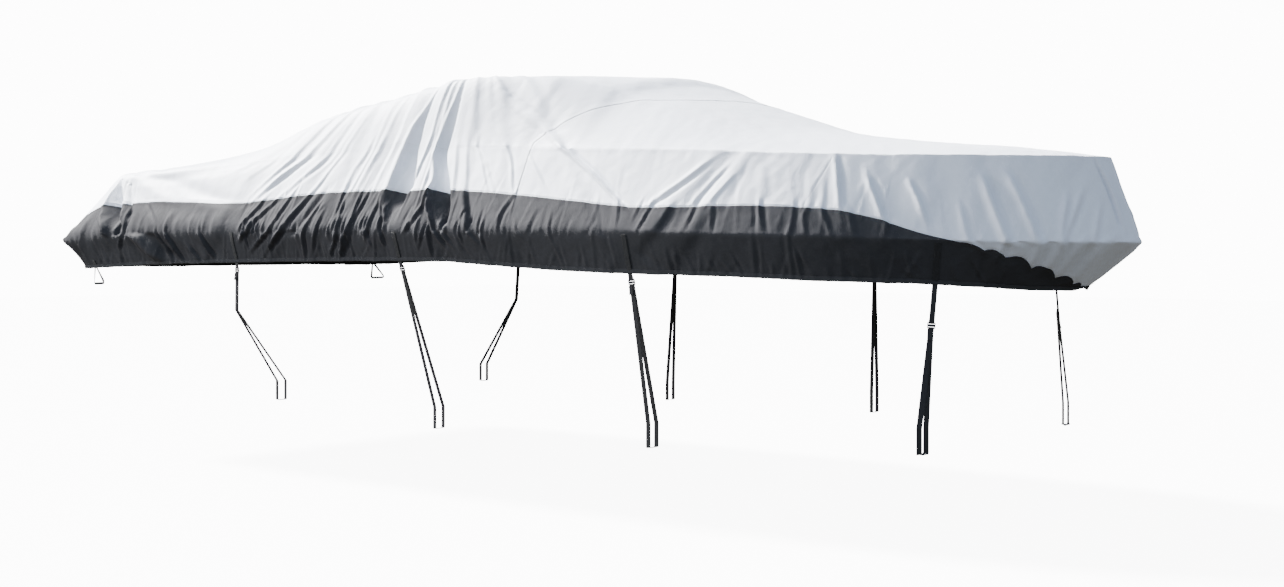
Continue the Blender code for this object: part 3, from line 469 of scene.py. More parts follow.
def crease_line(path):
    """The crease's x at each girth; it goes straight on past its ends."""
    girths, xs = list(path[:, 1]), list(path[:, 0])
    leans = [(xs[k + 1] - xs[k]) / (girths[k + 1] - girths[k]) for k in (0, -2)]

    def line(girth):
        inside = np.clip(girth, girths[0], girths[-1])
        middle = pchip(inside, girths, xs) if len(xs) > 2 else xs[0] + (inside - girths[0]) * leans[0]
        return middle + np.where(girth < inside, leans[0], leans[1]) * (girth - inside)

    return line


def trough_rise(x, girth, shift=0.0):
    """The great troughs: each turns evenly towards the bow from its crest to its bottom, and comes back."""
    rise = np.zeros_like(x)
    for side_fall, top_fall, *edges in TROUGHS:
        edges = np.array(sorted(edges))
        girths = list(edges[:, 0])
        near = (girth > girths[0] - 0.06) & (girth < girths[-1])
        near &= (x > edges[:, 1].min() - 0.2) & (x < edges[:, 2].max() + 0.2)
        there, g = x[near] - shift, np.maximum(girth[near], girths[0])
        left, right = (pchip(g, girths, list(edges[:, k])) for k in (1, 2))
        wide = right - left
        depth = wide * (side_fall + (top_fall - side_fall) * ease((g - 1.90) / 0.15))
        depth *= ease((girth[near] - girths[0] + 0.06) / 0.12)
        crest = TROUGH_CREST * ease((there - left) / (0.4 * wide + TROUGH_BACK) + 1)
        bottom = (TROUGH_CREST - 1) * (1 - ease((there - right) / (0.25 * wide + TROUGH_BACK)))
        down = TROUGH_CREST - np.clip((there - left) / wide, 0, 1)
        rise[near] += depth * np.where(there < left, crest, np.where(there < right, down, bottom))
    return rise


GIRTH_METRES = (0.20, 0.45, 0.50)       # of cloth in one step of girth, on the band, the side and the top
BESIDE_AWAY, BESIDE_WIDE, BESIDE_DEEP = 1.5, 1.1, 0.8       # the valley beside a crease, in its half-widths


def crease_rise(x, girth, table, shift=0.0):
    """The creases of a table together: soft ridges along their lines, each with a valley beside it."""
    rise = np.zeros_like(x)
    for height, width, beside, *path in table:
        path = np.array(path).reshape(-1, 2)
        path = path[np.argsort(path[:, 1])]
        low, high = path[0, 1], path[-1, 1]
        taper = 0.22 * (high - low) + 0.04
        near = (girth > low - taper) & (girth < high + taper)
        near &= (x > path[:, 0].min() - 0.30) & (x < path[:, 0].max() + 0.30)
        there, g = x[near], girth[near]
        if not there.size:
            continue
        fade = ease((g - low + taper) / (2 * taper)) * ease((high + taper - g) / (2 * taper))
        line = crease_line(path)
        metres = np.where(g < 1, GIRTH_METRES[0], np.where(g < 2, GIRTH_METRES[1], GIRTH_METRES[2]))
        slope = (line(g + 0.01) - line(g - 0.01)) / 0.02 / metres
        offset = (there - line(g) - shift) / (width * np.sqrt(1 + np.minimum(slope * slope, 60.0)))
        ridge = np.exp(-offset ** 2)
        if beside:
            away = math.copysign(BESIDE_AWAY, beside)
            ridge = ridge - abs(beside) * BESIDE_DEEP * np.exp(-((offset - away) / BESIDE_WIDE) ** 2)
        rise[near] += height * fade * ridge
    return rise


def gather_table(seed):
    """Small gathers that the hem's elastic draws up the band, uneven and seeded."""
    draw = np.random.default_rng(seed)
    table, x = [], -3.62
    while x < 2.30:
        x += draw.uniform(0.020, 0.060)
        top_end = draw.uniform(0.25, 0.85) if draw.random() < 0.75 else draw.uniform(0.85, 1.15)
        lean = draw.normal(0, 0.035)
        height = draw.uniform(0.0015, 0.0045)
        width = draw.uniform(0.006, 0.011)
        table.append((height, width, 0.8 * draw.choice([-1, 1]), x + lean, top_end, x, 0.02))
    return table


def streak_table(seed):
    """Small streaks in the band's upper zone, and pinches where it turns under the rail."""
    draw = np.random.default_rng(seed)
    table, x = [], -3.35
    while x < 2.45:
        x += draw.uniform(0.030, 0.090)
        lean = draw.normal(0.05 if x < 0.65 else -0.015, 0.035)
        low = draw.uniform(0.75, 1.05)
        high = draw.uniform(1.25, 1.50) if draw.random() < 0.7 else draw.uniform(1.5, 1.75)
        height = draw.uniform(0.0012, 0.0035) * (0.45 if x > -0.15 else 0.8 if x > -2.05 else 0.35)
        width = draw.uniform(0.006, 0.012)
        table.append((height, width, 0.8 * draw.choice([-1, 1]), x + lean, high, x, low))
    x = -3.45
    while x < 0.72:
        quiet = 1.3 if x < -2.05 else 0.0 if x < -0.1 else 0.9
        x += draw.uniform(0.024, 0.075) * (1 + quiet)
        lean, top_end = draw.normal(0.025, 0.015 + 0.03 * quiet), draw.uniform(1.04, 1.26)
        deep = draw.uniform(0.002, 0.0085) * max(0.1, 1 - 0.6 * quiet)
        low = draw.uniform(0.78, 0.95)
        table.append((-deep, draw.uniform(0.007, 0.013), 0.7 * draw.choice([-1, 1]),
                      x + lean * (top_end - 1) * 3, top_end, x, low))
        if draw.random() < 0.45 * (1 - quiet):
            tongue = x + draw.uniform(0.012, 0.030)
            table.append((draw.uniform(0.004, 0.009), draw.uniform(0.007, 0.012), 0.8,
                          tongue, 1.15, tongue + draw.normal(0.03, 0.03), draw.uniform(0.35, 0.80)))
    return table


def noise(x, y, scale, seed):
    """Soft seeded noise from a few crossed waves, about -1 to 1."""
    draw = np.random.default_rng(seed)
    out = np.zeros_like(x)
    for _ in range(9):
        angle, phase = draw.uniform(0, 2 * np.pi, 2)
        wave = 2 * np.pi / (scale * draw.uniform(0.6, 1.8))
        out += np.sin(wave * (x * math.cos(angle) + y * math.sin(angle)) + phase)
    return out / 4.5


def calm(run):
    """0 at a tie-down, where the hem is pulled flat, and 1 away from one."""
    at = [run_at(x) for x in (*column(TIES, "hem_x"), STERN_TIE_X)]
    away = np.min([np.abs(run - a) for a in at], axis=0)
    return ease((away - TIE_FLAT) / TIE_CALM)


# ---------------------------------------------------------------- the whole shell as grids


def grid_normals(grid):
    normals = np.cross(np.gradient(grid, axis=0), np.gradient(grid, axis=1))
    lengths = np.linalg.norm(normals, axis=2, keepdims=True)
    return normals / np.maximum(lengths, 1e-9)


def relax(grid, weight, rounds):
    """Rounds the grid along its rows where weight is above 0."""
    for _ in range(rounds):
        mean = (grid[:, :-2] + 2 * grid[:, 1:-1] + grid[:, 2:]) / 4
        grid[:, 1:-1] += (mean - grid[:, 1:-1]) * weight[:, 1:-1, None]
    return grid


RUNS = run_columns()
WALL_GIRTHS, SEAM_ROW = wall_girths(RUNS)
GUNWALE_ROW = WALL_GIRTHS.shape[1] - 1
SHARES = top_shares()


def main_grid():
    """The whole girth at each column, from the starboard hem over the top to the port hem."""
    starboard = wall(RUNS, WALL_GIRTHS)
    over = top(RUNS, SHARES[1:-1])
    port = starboard[:, ::-1] * (1, -1, 1)
    girth_over = np.broadcast_to(2 + 2 * (1 - np.abs(SHARES[1:-1])), over.shape[:2])
    girths = np.concatenate([WALL_GIRTHS, girth_over, WALL_GIRTHS[:, ::-1]], axis=1)
    return np.concatenate([starboard, over, port], axis=1), girths


BASE, GIRTHS = main_grid()
SLANT_REACH = 0.35              # how far along the rail the side seam's slant is taken up


def slant_seam():
    """Turns the columns by the side seam so that it runs down and aft."""
    at = rib_run("side_seam")
    for k in range(BASE.shape[1]):
        girth = GIRTHS[:, k]
        shift = (0.040 + 0.065 * np.clip(2 - girth, 0, 0.7)) * ease((2.3 - girth) / 0.3)
        runs = RUNS + shift * np.exp(-((RUNS - at) / SLANT_REACH) ** 2)
        BASE[:, k] = np.stack([np.interp(runs, RUNS, BASE[:, k, axis]) for axis in range(3)], axis=1)


slant_seam()
FLAT_X = BASE[..., 0].copy()
PORT = np.zeros(BASE.shape[:2], bool)
PORT[:, BASE.shape[1] // 2:] = True


def near_girth(girth, breadth):
    """1 on a line along the shell and 0 away from it."""
    return np.exp(-((GIRTHS - girth) / breadth) ** 2)


# The knee at the rail is nearly sharp forward of the cockpit and round aft of it. The gunwale's edge is
# sharp, but for the tent aft of the windscreen, which falls in one sweep.
AFT = ease((0.95 - FLAT_X) / 0.35)
AFT_KNEE = ease((-1.70 - FLAT_X) / 0.6)
BASE = relax(BASE, near_girth(1, 0.05 + 0.17 * AFT) * (0.10 + 0.90 * AFT), 16)
BASE = relax(BASE, near_girth(1, 0.45) * AFT_KNEE, 50)
BASE = relax(BASE, near_girth(2, 0.02), 2)
BASE = relax(BASE, near_girth(2.05, 0.22) * ease((-0.45 - FLAT_X) / 0.5), 120)
NORMALS = grid_normals(BASE)

# Creases are shallower on the top, and deeper under the rail aft, where the elastic draws the band in.
CREASE_SHARE = 1 - 0.45 * ease((GIRTHS - 1.98) / 0.08)
CREASE_SHARE *= 1 + 0.6 * ease((1.02 - GIRTHS) / 0.1) * ease((0.2 - FLAT_X) / 0.3)
PLEAT_SHARE = 0.42              # the part's pleats are this deep here, under the creases
PORT_SHIFT = 0.035              # the port creases stand this far ahead of the starboard ones
WAVES = ((0.0012, 0.16, 5), (0.0005, 0.045, 6))     # height, length and seed of the cloth's soft waves
CRUMPLE, CRUMPLE_AFT = 0.0012, 0.0045               # how uneven the band is aft, and more so at the stern
KNEE_SWELL = 0.012              # the band aft swells this far at the rail
STEM_FLAT, STEM_FADE, CORNER_FADE = 0.004, 0.035, 0.08      # the folds die out towards stem and corner


def shell_rise():
    """How far the shell stands out from the smooth one at each point."""
    small = np.zeros_like(FLAT_X)
    for where, seed, shift in ((~PORT, 11, 0.0), (PORT, 23, PORT_SHIFT)):
        one = crease_rise(FLAT_X, GIRTHS, CREASES, shift) * CREASE_SHARE + trough_rise(FLAT_X, GIRTHS, shift)
        one += crease_rise(FLAT_X, GIRTHS, gather_table(seed) + streak_table(seed + 1))
        small = np.where(where, one, small)
    across = BASE[..., 1] + BASE[..., 2]
    soft = sum(height * noise(FLAT_X, across, length, seed) for height, length, seed in WAVES)
    band_aft = ease((1.35 - GIRTHS) / 0.2) * ease((-0.2 - FLAT_X) / 0.6)
    crumple = noise(FLAT_X * 1.2 + GIRTHS * 0.10, GIRTHS * 0.12, 0.13, 15)
    soft += (CRUMPLE + CRUMPLE_AFT * ease((-1.9 - FLAT_X) / 0.5)) * crumple * band_aft
    soft += AFT_KNEE * KNEE_SWELL * near_girth(1, 0.3)
    still, run = calm(RUNS)[:, None], RUNS[:, None]
    quiet = still + (1 - still) * ease((GIRTHS - 1) / 0.6)
    rise = (pleat_rise(FLAT_X, GIRTHS) * PLEAT_SHARE + small + soft) * quiet
    return rise * ease((run - STEM_FLAT) / STEM_FADE) * ease((CORNER - run) / CORNER_FADE)


SHELL = BASE + NORMALS * shell_rise()[..., None]
STERN_CREASES = 26


def stern_grid():
    """The stern: one row of points for each share of the breadth, from the hem up to the gunwale."""
    run = CORNER + (RUN[-1] - CORNER) * (1 - np.abs(SHARES))
    girths, _ = wall_girths(run)
    grid = wall(run, girths)
    grid[..., 1] *= np.where(SHARES < 0, -1, 1)[:, None]
    grid = relax(grid, np.exp(-((girths - 1) / 0.10) ** 2), 8)
    grid[0], grid[-1] = BASE[-1, :GUNWALE_ROW + 1], BASE[-1, ::-1][:GUNWALE_ROW + 1]
    normals = -grid_normals(grid)
    if normals[len(normals) // 2, 5, 0] > 0:
        normals = -normals
    across = grid[..., 1]
    rise = 0.003 * noise(across, girths * 0.4, 0.30, 8) + 0.0015 * noise(across, girths * 0.15, 0.07, 9)
    draw = np.random.default_rng(31)
    for _ in range(STERN_CREASES):
        y, lean, low = draw.uniform(-1.0, 1.0), draw.normal(0, 0.05), draw.uniform(0, 1.0)
        high = low + draw.uniform(0.3, 0.9)
        fade = ease((girths - low + 0.1) / 0.2) * ease((high + 0.1 - girths) / 0.2)
        offset = (across - y - lean * girths) / draw.uniform(0.010, 0.022)
        ridge = np.exp(-offset ** 2) - 0.7 * np.exp(-(offset - BESIDE_AWAY) ** 2)
        rise += draw.uniform(0.002, 0.006) * fade * ridge
    rise *= ease((1 - np.abs(SHARES)) / 0.10)[:, None] * ease((2 - girths) / 0.2)
    grid = grid + normals * rise[..., None]
    grid[0], grid[-1] = SHELL[-1, :GUNWALE_ROW + 1], SHELL[-1, ::-1][:GUNWALE_ROW + 1]
    grid[:, -1] = SHELL[-1, GUNWALE_ROW:GUNWALE_ROW + len(SHARES)]
    return grid


STERN = stern_grid()


def to_frame(grid):
    """From half-breadths to starboard and heights above the ground to the part's own frame."""
    return grid * (1, -1, 1) - (0, 0, MOUNT_HEIGHT)


SHELL, STERN = to_frame(SHELL), to_frame(STERN)

# The fold of spare cloth at the port corner of the stern: where it is, its reach, and how far it is pulled.
LIP_AT, LIP_REACH = np.array([-3.80, 1.05, -0.865]), np.array([0.12, 0.14, 0.052])
LIP_OUT = np.array([-0.062, 0.012, 0.004])


def pull_corners(grid):
    """The fold of spare cloth that stands out at each corner of the stern, level with the rail."""
    for side in (1, -1):
        flip = np.array([1, side, 1])
        weight = np.exp(-(((grid - LIP_AT * flip) / LIP_REACH) ** 2).sum(axis=-1))
        grid = grid + weight[..., None] * LIP_OUT * flip
    return grid


SHELL, STERN = pull_corners(SHELL), pull_corners(STERN)

# ---------------------------------------------------------------- making pieces


def add_faces(name, vertices, faces, uvs):
    mesh = bpy.data.meshes.new(name)
    mesh.from_pydata(vertices.tolist(), [], faces)
    corners = np.array([v for face in faces for v in face])
    for label, values in uvs.items():
        layer = mesh.uv_layers.new(name=label)
        layer.data.foreach_set("uv", values[corners].astype(np.float32).reshape(-1))
    mesh.shade_smooth()
    obj = bpy.data.objects.new(name, mesh)
    bpy.context.scene.collection.objects.link(obj)
    return obj


def grid_faces(high, wide, flip=False):
    i, j = np.meshgrid(np.arange(high - 1), np.arange(wide - 1), indexing="ij")
    a = (i * wide + j).reshape(-1)
    faces = np.stack([a, a + 1, a + wide + 1, a + wide], axis=1)
    return (faces[:, ::-1] if flip else faces).tolist()


FAR = 9.0                       # the distance from a seam where there is none
OVER_LIFT = 0.0016              # a piece stands this far off the one that it is sewn over
HEM_RADIUS, HEM_TAPER = 0.0045, 0.10
HEM_BACK = ((0.006, 0.3), (0.012, 0.65), (0.018, 0.9))      # the cloth's way back behind the elastic


def cloth(name, grid, over=(), under=(), hem=None, flip=False, taper=False):
    """A sheet of cloth from a grid of points.

    over names the edges that lie on a neighbour, under those that a neighbour covers, and hem the
    edge that is rolled round the elastic; with taper its roll is thinner at the first row.
    """
    high, wide = grid.shape[:2]
    normals = -grid_normals(grid) if flip else grid_normals(grid)
    steps = np.linalg.norm(np.diff(grid, axis=0), axis=2).mean(axis=1)
    u = np.concatenate([[0.0], np.cumsum(steps)])[:, None]
    steps = np.linalg.norm(np.diff(grid, axis=1), axis=2)
    v = np.concatenate([np.zeros((high, 1)), np.cumsum(steps, axis=1)], axis=1)
    distance = {"first_row": u, "last_row": u[-1] - u, "first_column": v, "last_column": v[:, -1:] - v}
    lift = np.zeros((high, wide))
    seams = {"row": lift + FAR, "column": lift + FAR}
    for edge in (*over, *under):
        way = edge.split("_")[1]
        if edge in over:
            lift = np.maximum(lift, OVER_LIFT * ease((0.016 - distance[edge]) / 0.006))
        seams[way] = np.minimum(seams[way], distance[edge] + (0 if edge in over else LAP))
    grid = grid + normals * lift[..., None]
    layers = [u + 0 * v, v, seams["row"], seams["column"]]
    if hem:
        edge, inner = (0, 1) if hem == "first_column" else (-1, -2)
        down = grid[:, edge] - grid[:, inner]
        down /= np.linalg.norm(down, axis=1, keepdims=True)
        out = normals[:, edge]
        radius = HEM_RADIUS * (0.4 + 0.6 * ease(u / HEM_TAPER) if taper else 1 + 0 * u)
        centre = grid[:, edge] - out * radius
        angles = [math.radians(k * 22.5) for k in range(1, 9)]
        turn = [centre + out * radius * math.cos(angle) + down * radius * math.sin(angle) for angle in angles]
        turn += [turn[-1] - down * back + out * share * (2 * radius - 0.0015) for back, share in HEM_BACK]
        extra = np.arange(1, len(turn) + 1) * (-0.0018 if edge == 0 else 0.0018)
        vee = v[:, edge][:, None] + extra
        added = (np.stack(turn, axis=1), u + 0 * vee, vee, FAR + 0 * vee, FAR + 0 * vee)
        joined = [np.concatenate([a[:, ::-1], b] if edge == 0 else [b, a], axis=1)
                  for a, b in zip(added, (grid, *layers))]
        grid, *layers = joined
    a, b, from_row, from_column = (layer.reshape(-1) for layer in layers)
    uvs = {"cloth": np.stack([a, b], axis=1), "seam": np.stack([from_row, from_column], axis=1)}
    return add_faces(name, grid.reshape(-1, 3), grid_faces(*grid.shape[:2], flip), uvs)


def put(piece, node):
    """The piece takes the place of one solid, which rides on the only body."""
    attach(piece, "root")
    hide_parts(node)


def declare(obj):
    """Works out the flat size of a panel, from its longest runs both ways and its own area, and keeps none of
    it.
    """
    layer, polygons = obj.data.uv_layers["cloth"].data, obj.data.polygons
    values, areas = np.zeros(len(layer) * 2), np.zeros(len(polygons))
    layer.foreach_get("uv", values)
    polygons.foreach_get("area", areas)
    values = values.reshape(-1, 2)
    length, width = values.max(0) - values.min(0)
    area = min(float(areas.sum()), 0.999 * width * length)


# ---------------------------------------------------------------- materials


def add_node(tree, kind, inputs, **settings):
    """A shader node with its settings, and a value or a link for each socket that inputs names."""
    node = tree.nodes.new("ShaderNode" + kind)
    for name, value in settings.items():
        setattr(node, name, value)
    for name, value in inputs.items():
        if hasattr(value, "is_output"):
            tree.links.new(value, node.inputs[name])
        else:
            node.inputs[name].default_value = value
    return node


class Graph:
    """Adds shader nodes to a material with few words."""

    def __init__(self, name, rgb, roughness, specular, sheen=0.0):
        self.material = bpy.data.materials.new(name)
        self.material.use_nodes = True
        self.tree = self.material.node_tree
        self.inputs = self.tree.nodes["Principled BSDF"].inputs
        values = {"Base Color": (*rgb, 1), "Roughness": roughness, "Specular IOR Level": specular,
                  "Sheen Weight": sheen, "Sheen Roughness": 0.4}
        for socket, value in values.items():
            self.inputs[socket].default_value = value

    def math(self, operation, a, b=0.0, c=0.0):
        return add_node(self.tree, "Math", {0: a, 1: b, 2: c}, operation=operation).outputs[0]

    def sum(self, *terms):
        """The parts together, each times its share."""
        total = 0.0
        for part, share in terms:
            total = self.math("MULTIPLY_ADD", part, share, total)
        return total

    def apart(self, a, b):
        return self.math("ABSOLUTE", self.math("SUBTRACT", a, b))

    def uv(self, layer):
        flat = add_node(self.tree, "UVMap", {}, uv_map=layer).outputs[0]
        split = add_node(self.tree, "SeparateXYZ", {0: flat})
        return flat, split.outputs[0], split.outputs[1]

    def noise(self, vector, scale, detail=2.0, stretch=(1, 1, 1)):
        mapped = add_node(self.tree, "Mapping", {"Vector": vector, "Scale": stretch}).outputs[0]
        values = {"Vector": mapped, "Scale": scale, "Detail": detail}
        return add_node(self.tree, "TexNoise", values).outputs["Fac"]

    def threads(self, along, pitch):
        """Rounded threads side by side, 0 between them and 1 on their crests."""
        return self.math("ABSOLUTE", self.math("SINE", self.math("MULTIPLY", along, math.pi / pitch)))

    def fade(self, value, start, end):
        """1 where value is at start and 0 at end."""
        ends = {"Value": value, "From Min": start, "From Max": end, "To Min": 1.0, "To Max": 0.0}
        return add_node(self.tree, "MapRange", ends, interpolation_type="SMOOTHSTEP").outputs["Result"]

    def mix(self, factor, a, b):
        return add_node(self.tree, "Mix", {0: factor, 6: a, 7: b}, data_type="RGBA").outputs[2]

    def colour(self, factor, dark, light, over=None):
        """Base colour between dark and light, and over it a colour by its own factor."""
        mixed = self.mix(factor, (*dark, 1), (*light, 1))
        if over:
            mixed = self.mix(over[0], mixed, (*over[1], 1))
        self.tree.links.new(mixed, self.inputs["Base Color"])

    def bump(self, height, distance, strength=1.0):
        node = add_node(self.tree, "Bump", {"Strength": strength, "Distance": distance, "Height": height})
        self.tree.links.new(node.outputs[0], self.inputs["Normal"])

    def rough(self, factor, low, high):
        self.tree.links.new(self.math("MULTIPLY_ADD", factor, high - low, low), self.inputs["Roughness"])


STITCH_ROWS = (0.0022, 0.0066)      # distances of the two stitched rows from a seam's edge
STITCH_PITCH, STITCH_SHARE, THREAD = 0.0042, 0.0030 / 0.0042, 0.0005
WEAVE_PITCH = 0.0006


def cloth_material(name, dark, light, thread, roughness, specular, sheen):
    """Woven polyester: a plain weave, fine crumples, stitched seams and their puckers."""
    g = Graph(name, light, roughness[1], specular, sheen)
    flat, run, girth = g.uv("cloth")
    _, from_row, from_column = g.uv("seam")
    weave = g.math("MULTIPLY", g.threads(run, WEAVE_PITCH), g.threads(girth, WEAVE_PITCH))
    crumple, soft, blotch = g.noise(flat, 34.0, 3.0), g.noise(flat, 9.0, 2.0), g.noise(flat, 2.2, 3.0)
    stitches, relief = [], [(weave, 0.06), (crumple, 0.9), (soft, 2.2)]
    for away, along, stretch in ((from_row, girth, (30, 120, 1)), (from_column, run, (120, 30, 1))):
        lanes = [g.fade(g.apart(away, row), THREAD, 2.2 * THREAD) for row in STITCH_ROWS]
        phase = g.math("FRACT", g.math("DIVIDE", along, STITCH_PITCH))
        dash = g.fade(phase, STITCH_SHARE - 0.05, STITCH_SHARE + 0.05)
        stitches.append(g.math("MULTIPLY", g.math("MAXIMUM", *lanes), dash))
        groove = g.fade(g.apart(away, sum(STITCH_ROWS) / 2), 0.003, 0.006)
        pucker = g.math("MULTIPLY", g.noise(flat, 1.0, 2.0, stretch), g.fade(away, 0.004, 0.035))
        relief += [(pucker, 1.6), (groove, -0.25), (stitches[-1], 0.35)]
    shade = g.sum((crumple, 0.35), (blotch, 0.65), (weave, 0.15))
    g.colour(g.fade(shade, 0.72, 0.28), dark, light, (g.math("MAXIMUM", *stitches), thread))
    g.rough(crumple, *roughness)
    g.bump(g.sum(*relief), 0.001)
    return g.material


SILVER = cloth_material("silver_cloth", (0.670, 0.702, 0.775), (0.730, 0.762, 0.835), (0.55, 0.56, 0.58),
                        (0.50, 0.66), 0.35, 0.08)
BLACK = cloth_material("black_cloth", (0.034, 0.034, 0.037), (0.045, 0.045, 0.049), (0.06, 0.06, 0.063),
                       (0.56, 0.70), 0.012, 0.010)


def strap_material():
    """Narrow woven webbing: a herringbone of threads across and along, and worn patches."""
    g = Graph("webbing", (0.016, 0.016, 0.018), 0.62, 0.25, 0.1)
    flat, run, across = g.uv("cloth")
    zigzag = g.apart(g.math("FLOORED_MODULO", across, 0.005), 0.0025)
    slant, cords = g.threads(g.math("ADD", run, zigzag), 0.0016), g.threads(across, 0.0012)
    worn = g.noise(flat, 60.0, 4.0)
    g.colour(g.sum((slant, 0.5), (worn, 0.5)), (0.008, 0.008, 0.009), (0.030, 0.030, 0.033))
    g.rough(worn, 0.55, 0.75)
    g.bump(g.sum((slant, 0.5), (cords, 0.4)), 0.0004)
    return g.material


def plastic_material():
    """Moulded black plastic with a fine grain and rubbed patches."""
    g = Graph("buckle", (0.012, 0.012, 0.013), 0.42, 0.4)
    coords = add_node(g.tree, "TexCoord", {}).outputs["Object"]
    grain, rubbed = g.noise(coords, 2600.0, 2.0), g.noise(coords, 160.0, 3.0)
    g.colour(rubbed, (0.009, 0.009, 0.010), (0.020, 0.020, 0.021))
    g.rough(rubbed, 0.34, 0.50)
    g.bump(grain, 0.0001, 0.5)
    return g.material


STRAP, PLASTIC = strap_material(), plastic_material()

# ---------------------------------------------------------------- the cover's cloth


def column_of(run):
    """The grid's column nearest to a distance along the rail."""
    return int(np.argmin(np.abs(RUNS - run)))


SIDE_SEAM, CROWN_SEAM = column_of(rib_run("side_seam")), column_of(rib_run("crown_seam"))
LAST_ROW = SHELL.shape[1] - 1
BAND_START, DECK_START = 2, 1           # the first columns of the band and of the top
EDGES, ENDS = ("first_column", "last_column"), ("first_row", "last_row")
BLOCKS = (                              # columns of the side panels, and which ends are over and under
    ("fore", 0, SIDE_SEAM, (), ENDS[1:]),
    ("mid", SIDE_SEAM - 2, CROWN_SEAM + 2, ENDS, ()),
    ("aft", CROWN_SEAM, len(RUNS) - 1, (), ENDS),
)


def one_side(side, low, high):
    """The grid's rows from low to high, counted from that side's hem."""
    return slice(low, high + 1) if side == "starboard" else slice(LAST_ROW - high, LAST_ROW - low + 1)


pieces = {}
for side, (low, high) in (("starboard", EDGES), ("port", EDGES[::-1])):
    for name, start, end, over, under in BLOCKS:
        block = SHELL[start:end + 1, one_side(side, SEAM_ROW - 2, GUNWALE_ROW)]
        pieces[f"side_{name}_{side}"] = cloth(f"panel_{name}_{side}", block, (low, *over), (high, *under))
    band = SHELL[BAND_START:, one_side(side, 0, SEAM_ROW)]
    pieces[f"band_{side}"] = cloth(f"skirt_{side}", band, (), (high, "last_row"), low, taper=True)
deck = SHELL[:, GUNWALE_ROW - 2:GUNWALE_ROW + len(SHARES) + 2]
pieces["deck_fore"] = cloth("top_fore", deck[DECK_START:CROWN_SEAM + 3], (*EDGES, "last_row"))
pieces["deck_aft"] = cloth("top_aft", deck[CROWN_SEAM:], EDGES, ENDS)
under = ("last_column", *ENDS)
pieces["stern_panel"] = cloth("stern_silver", STERN[:, SEAM_ROW - 2:], ("first_column",), under, flip=True)
pieces["band_stern"] = cloth("stern_skirt", STERN[:, :SEAM_ROW + 1], (), under, "first_column", flip=True)
for node, piece in pieces.items():
    black = node.startswith("band")
    piece.data.materials.append(BLACK if black else SILVER)
    put(piece, node)
    declare(piece)

# ---------------------------------------------------------------- the tie-downs


def unit(vector):
    return vector / np.linalg.norm(vector)


def mirror(side):
    """Turns a port point to its side."""
    return np.array([1, 1 if side == "port" else -1, 1])


def rounded(path, across, radius, pitch):
    """The path with its long-legged corners rounded, and points close together, with matching across."""
    bends = [(np.array(path[0]), np.array(across[0]))]
    for i in range(1, len(path) - 1):
        before, here, after = (np.array(path[k]) for k in (i - 1, i, i + 1))
        side = np.array(across[i])
        legs = np.linalg.norm(here - before), np.linalg.norm(after - here)
        turn = math.acos(np.clip(np.dot(unit(here - before), unit(after - here)), -1, 1))
        reach = min(radius * math.tan(turn / 2), 0.45 * min(legs)) if min(legs) > 0.006 else 0
        if turn < 0.02 or reach < 0.0008:
            bends.append((here, side))
            continue
        start, end = here + unit(before - here) * reach, here + unit(after - here) * reach
        steps = max(3, int(turn / 0.22))
        for t in (k / steps for k in range(steps + 1)):
            bends.append(((1 - t) ** 2 * start + 2 * t * (1 - t) * here + t * t * end, side))
    bends.append((np.array(path[-1]), np.array(across[-1])))
    out = [bends[0]]
    for (a, p), (b, q) in zip(bends, bends[1:]):
        parts = max(1, int(np.linalg.norm(b - a) / pitch))
        out += [(a + (b - a) * k / parts, p + (q - p) * k / parts) for k in range(1, parts + 1)]
    points, sides = zip(*out)
    return np.array(points), np.array(sides)


END_LIP = 0.0003                    # a cut end is this crisp
WEBBING_RIB = 0.00012
HALF_SHARES = np.array([0.14, 0.40, 0.62, 0.78, 0.90, 0.975, 1])
RIBBON_SHARES = np.concatenate([-HALF_SHARES[::-1], HALF_SHARES])       # of the half-width, at its lines


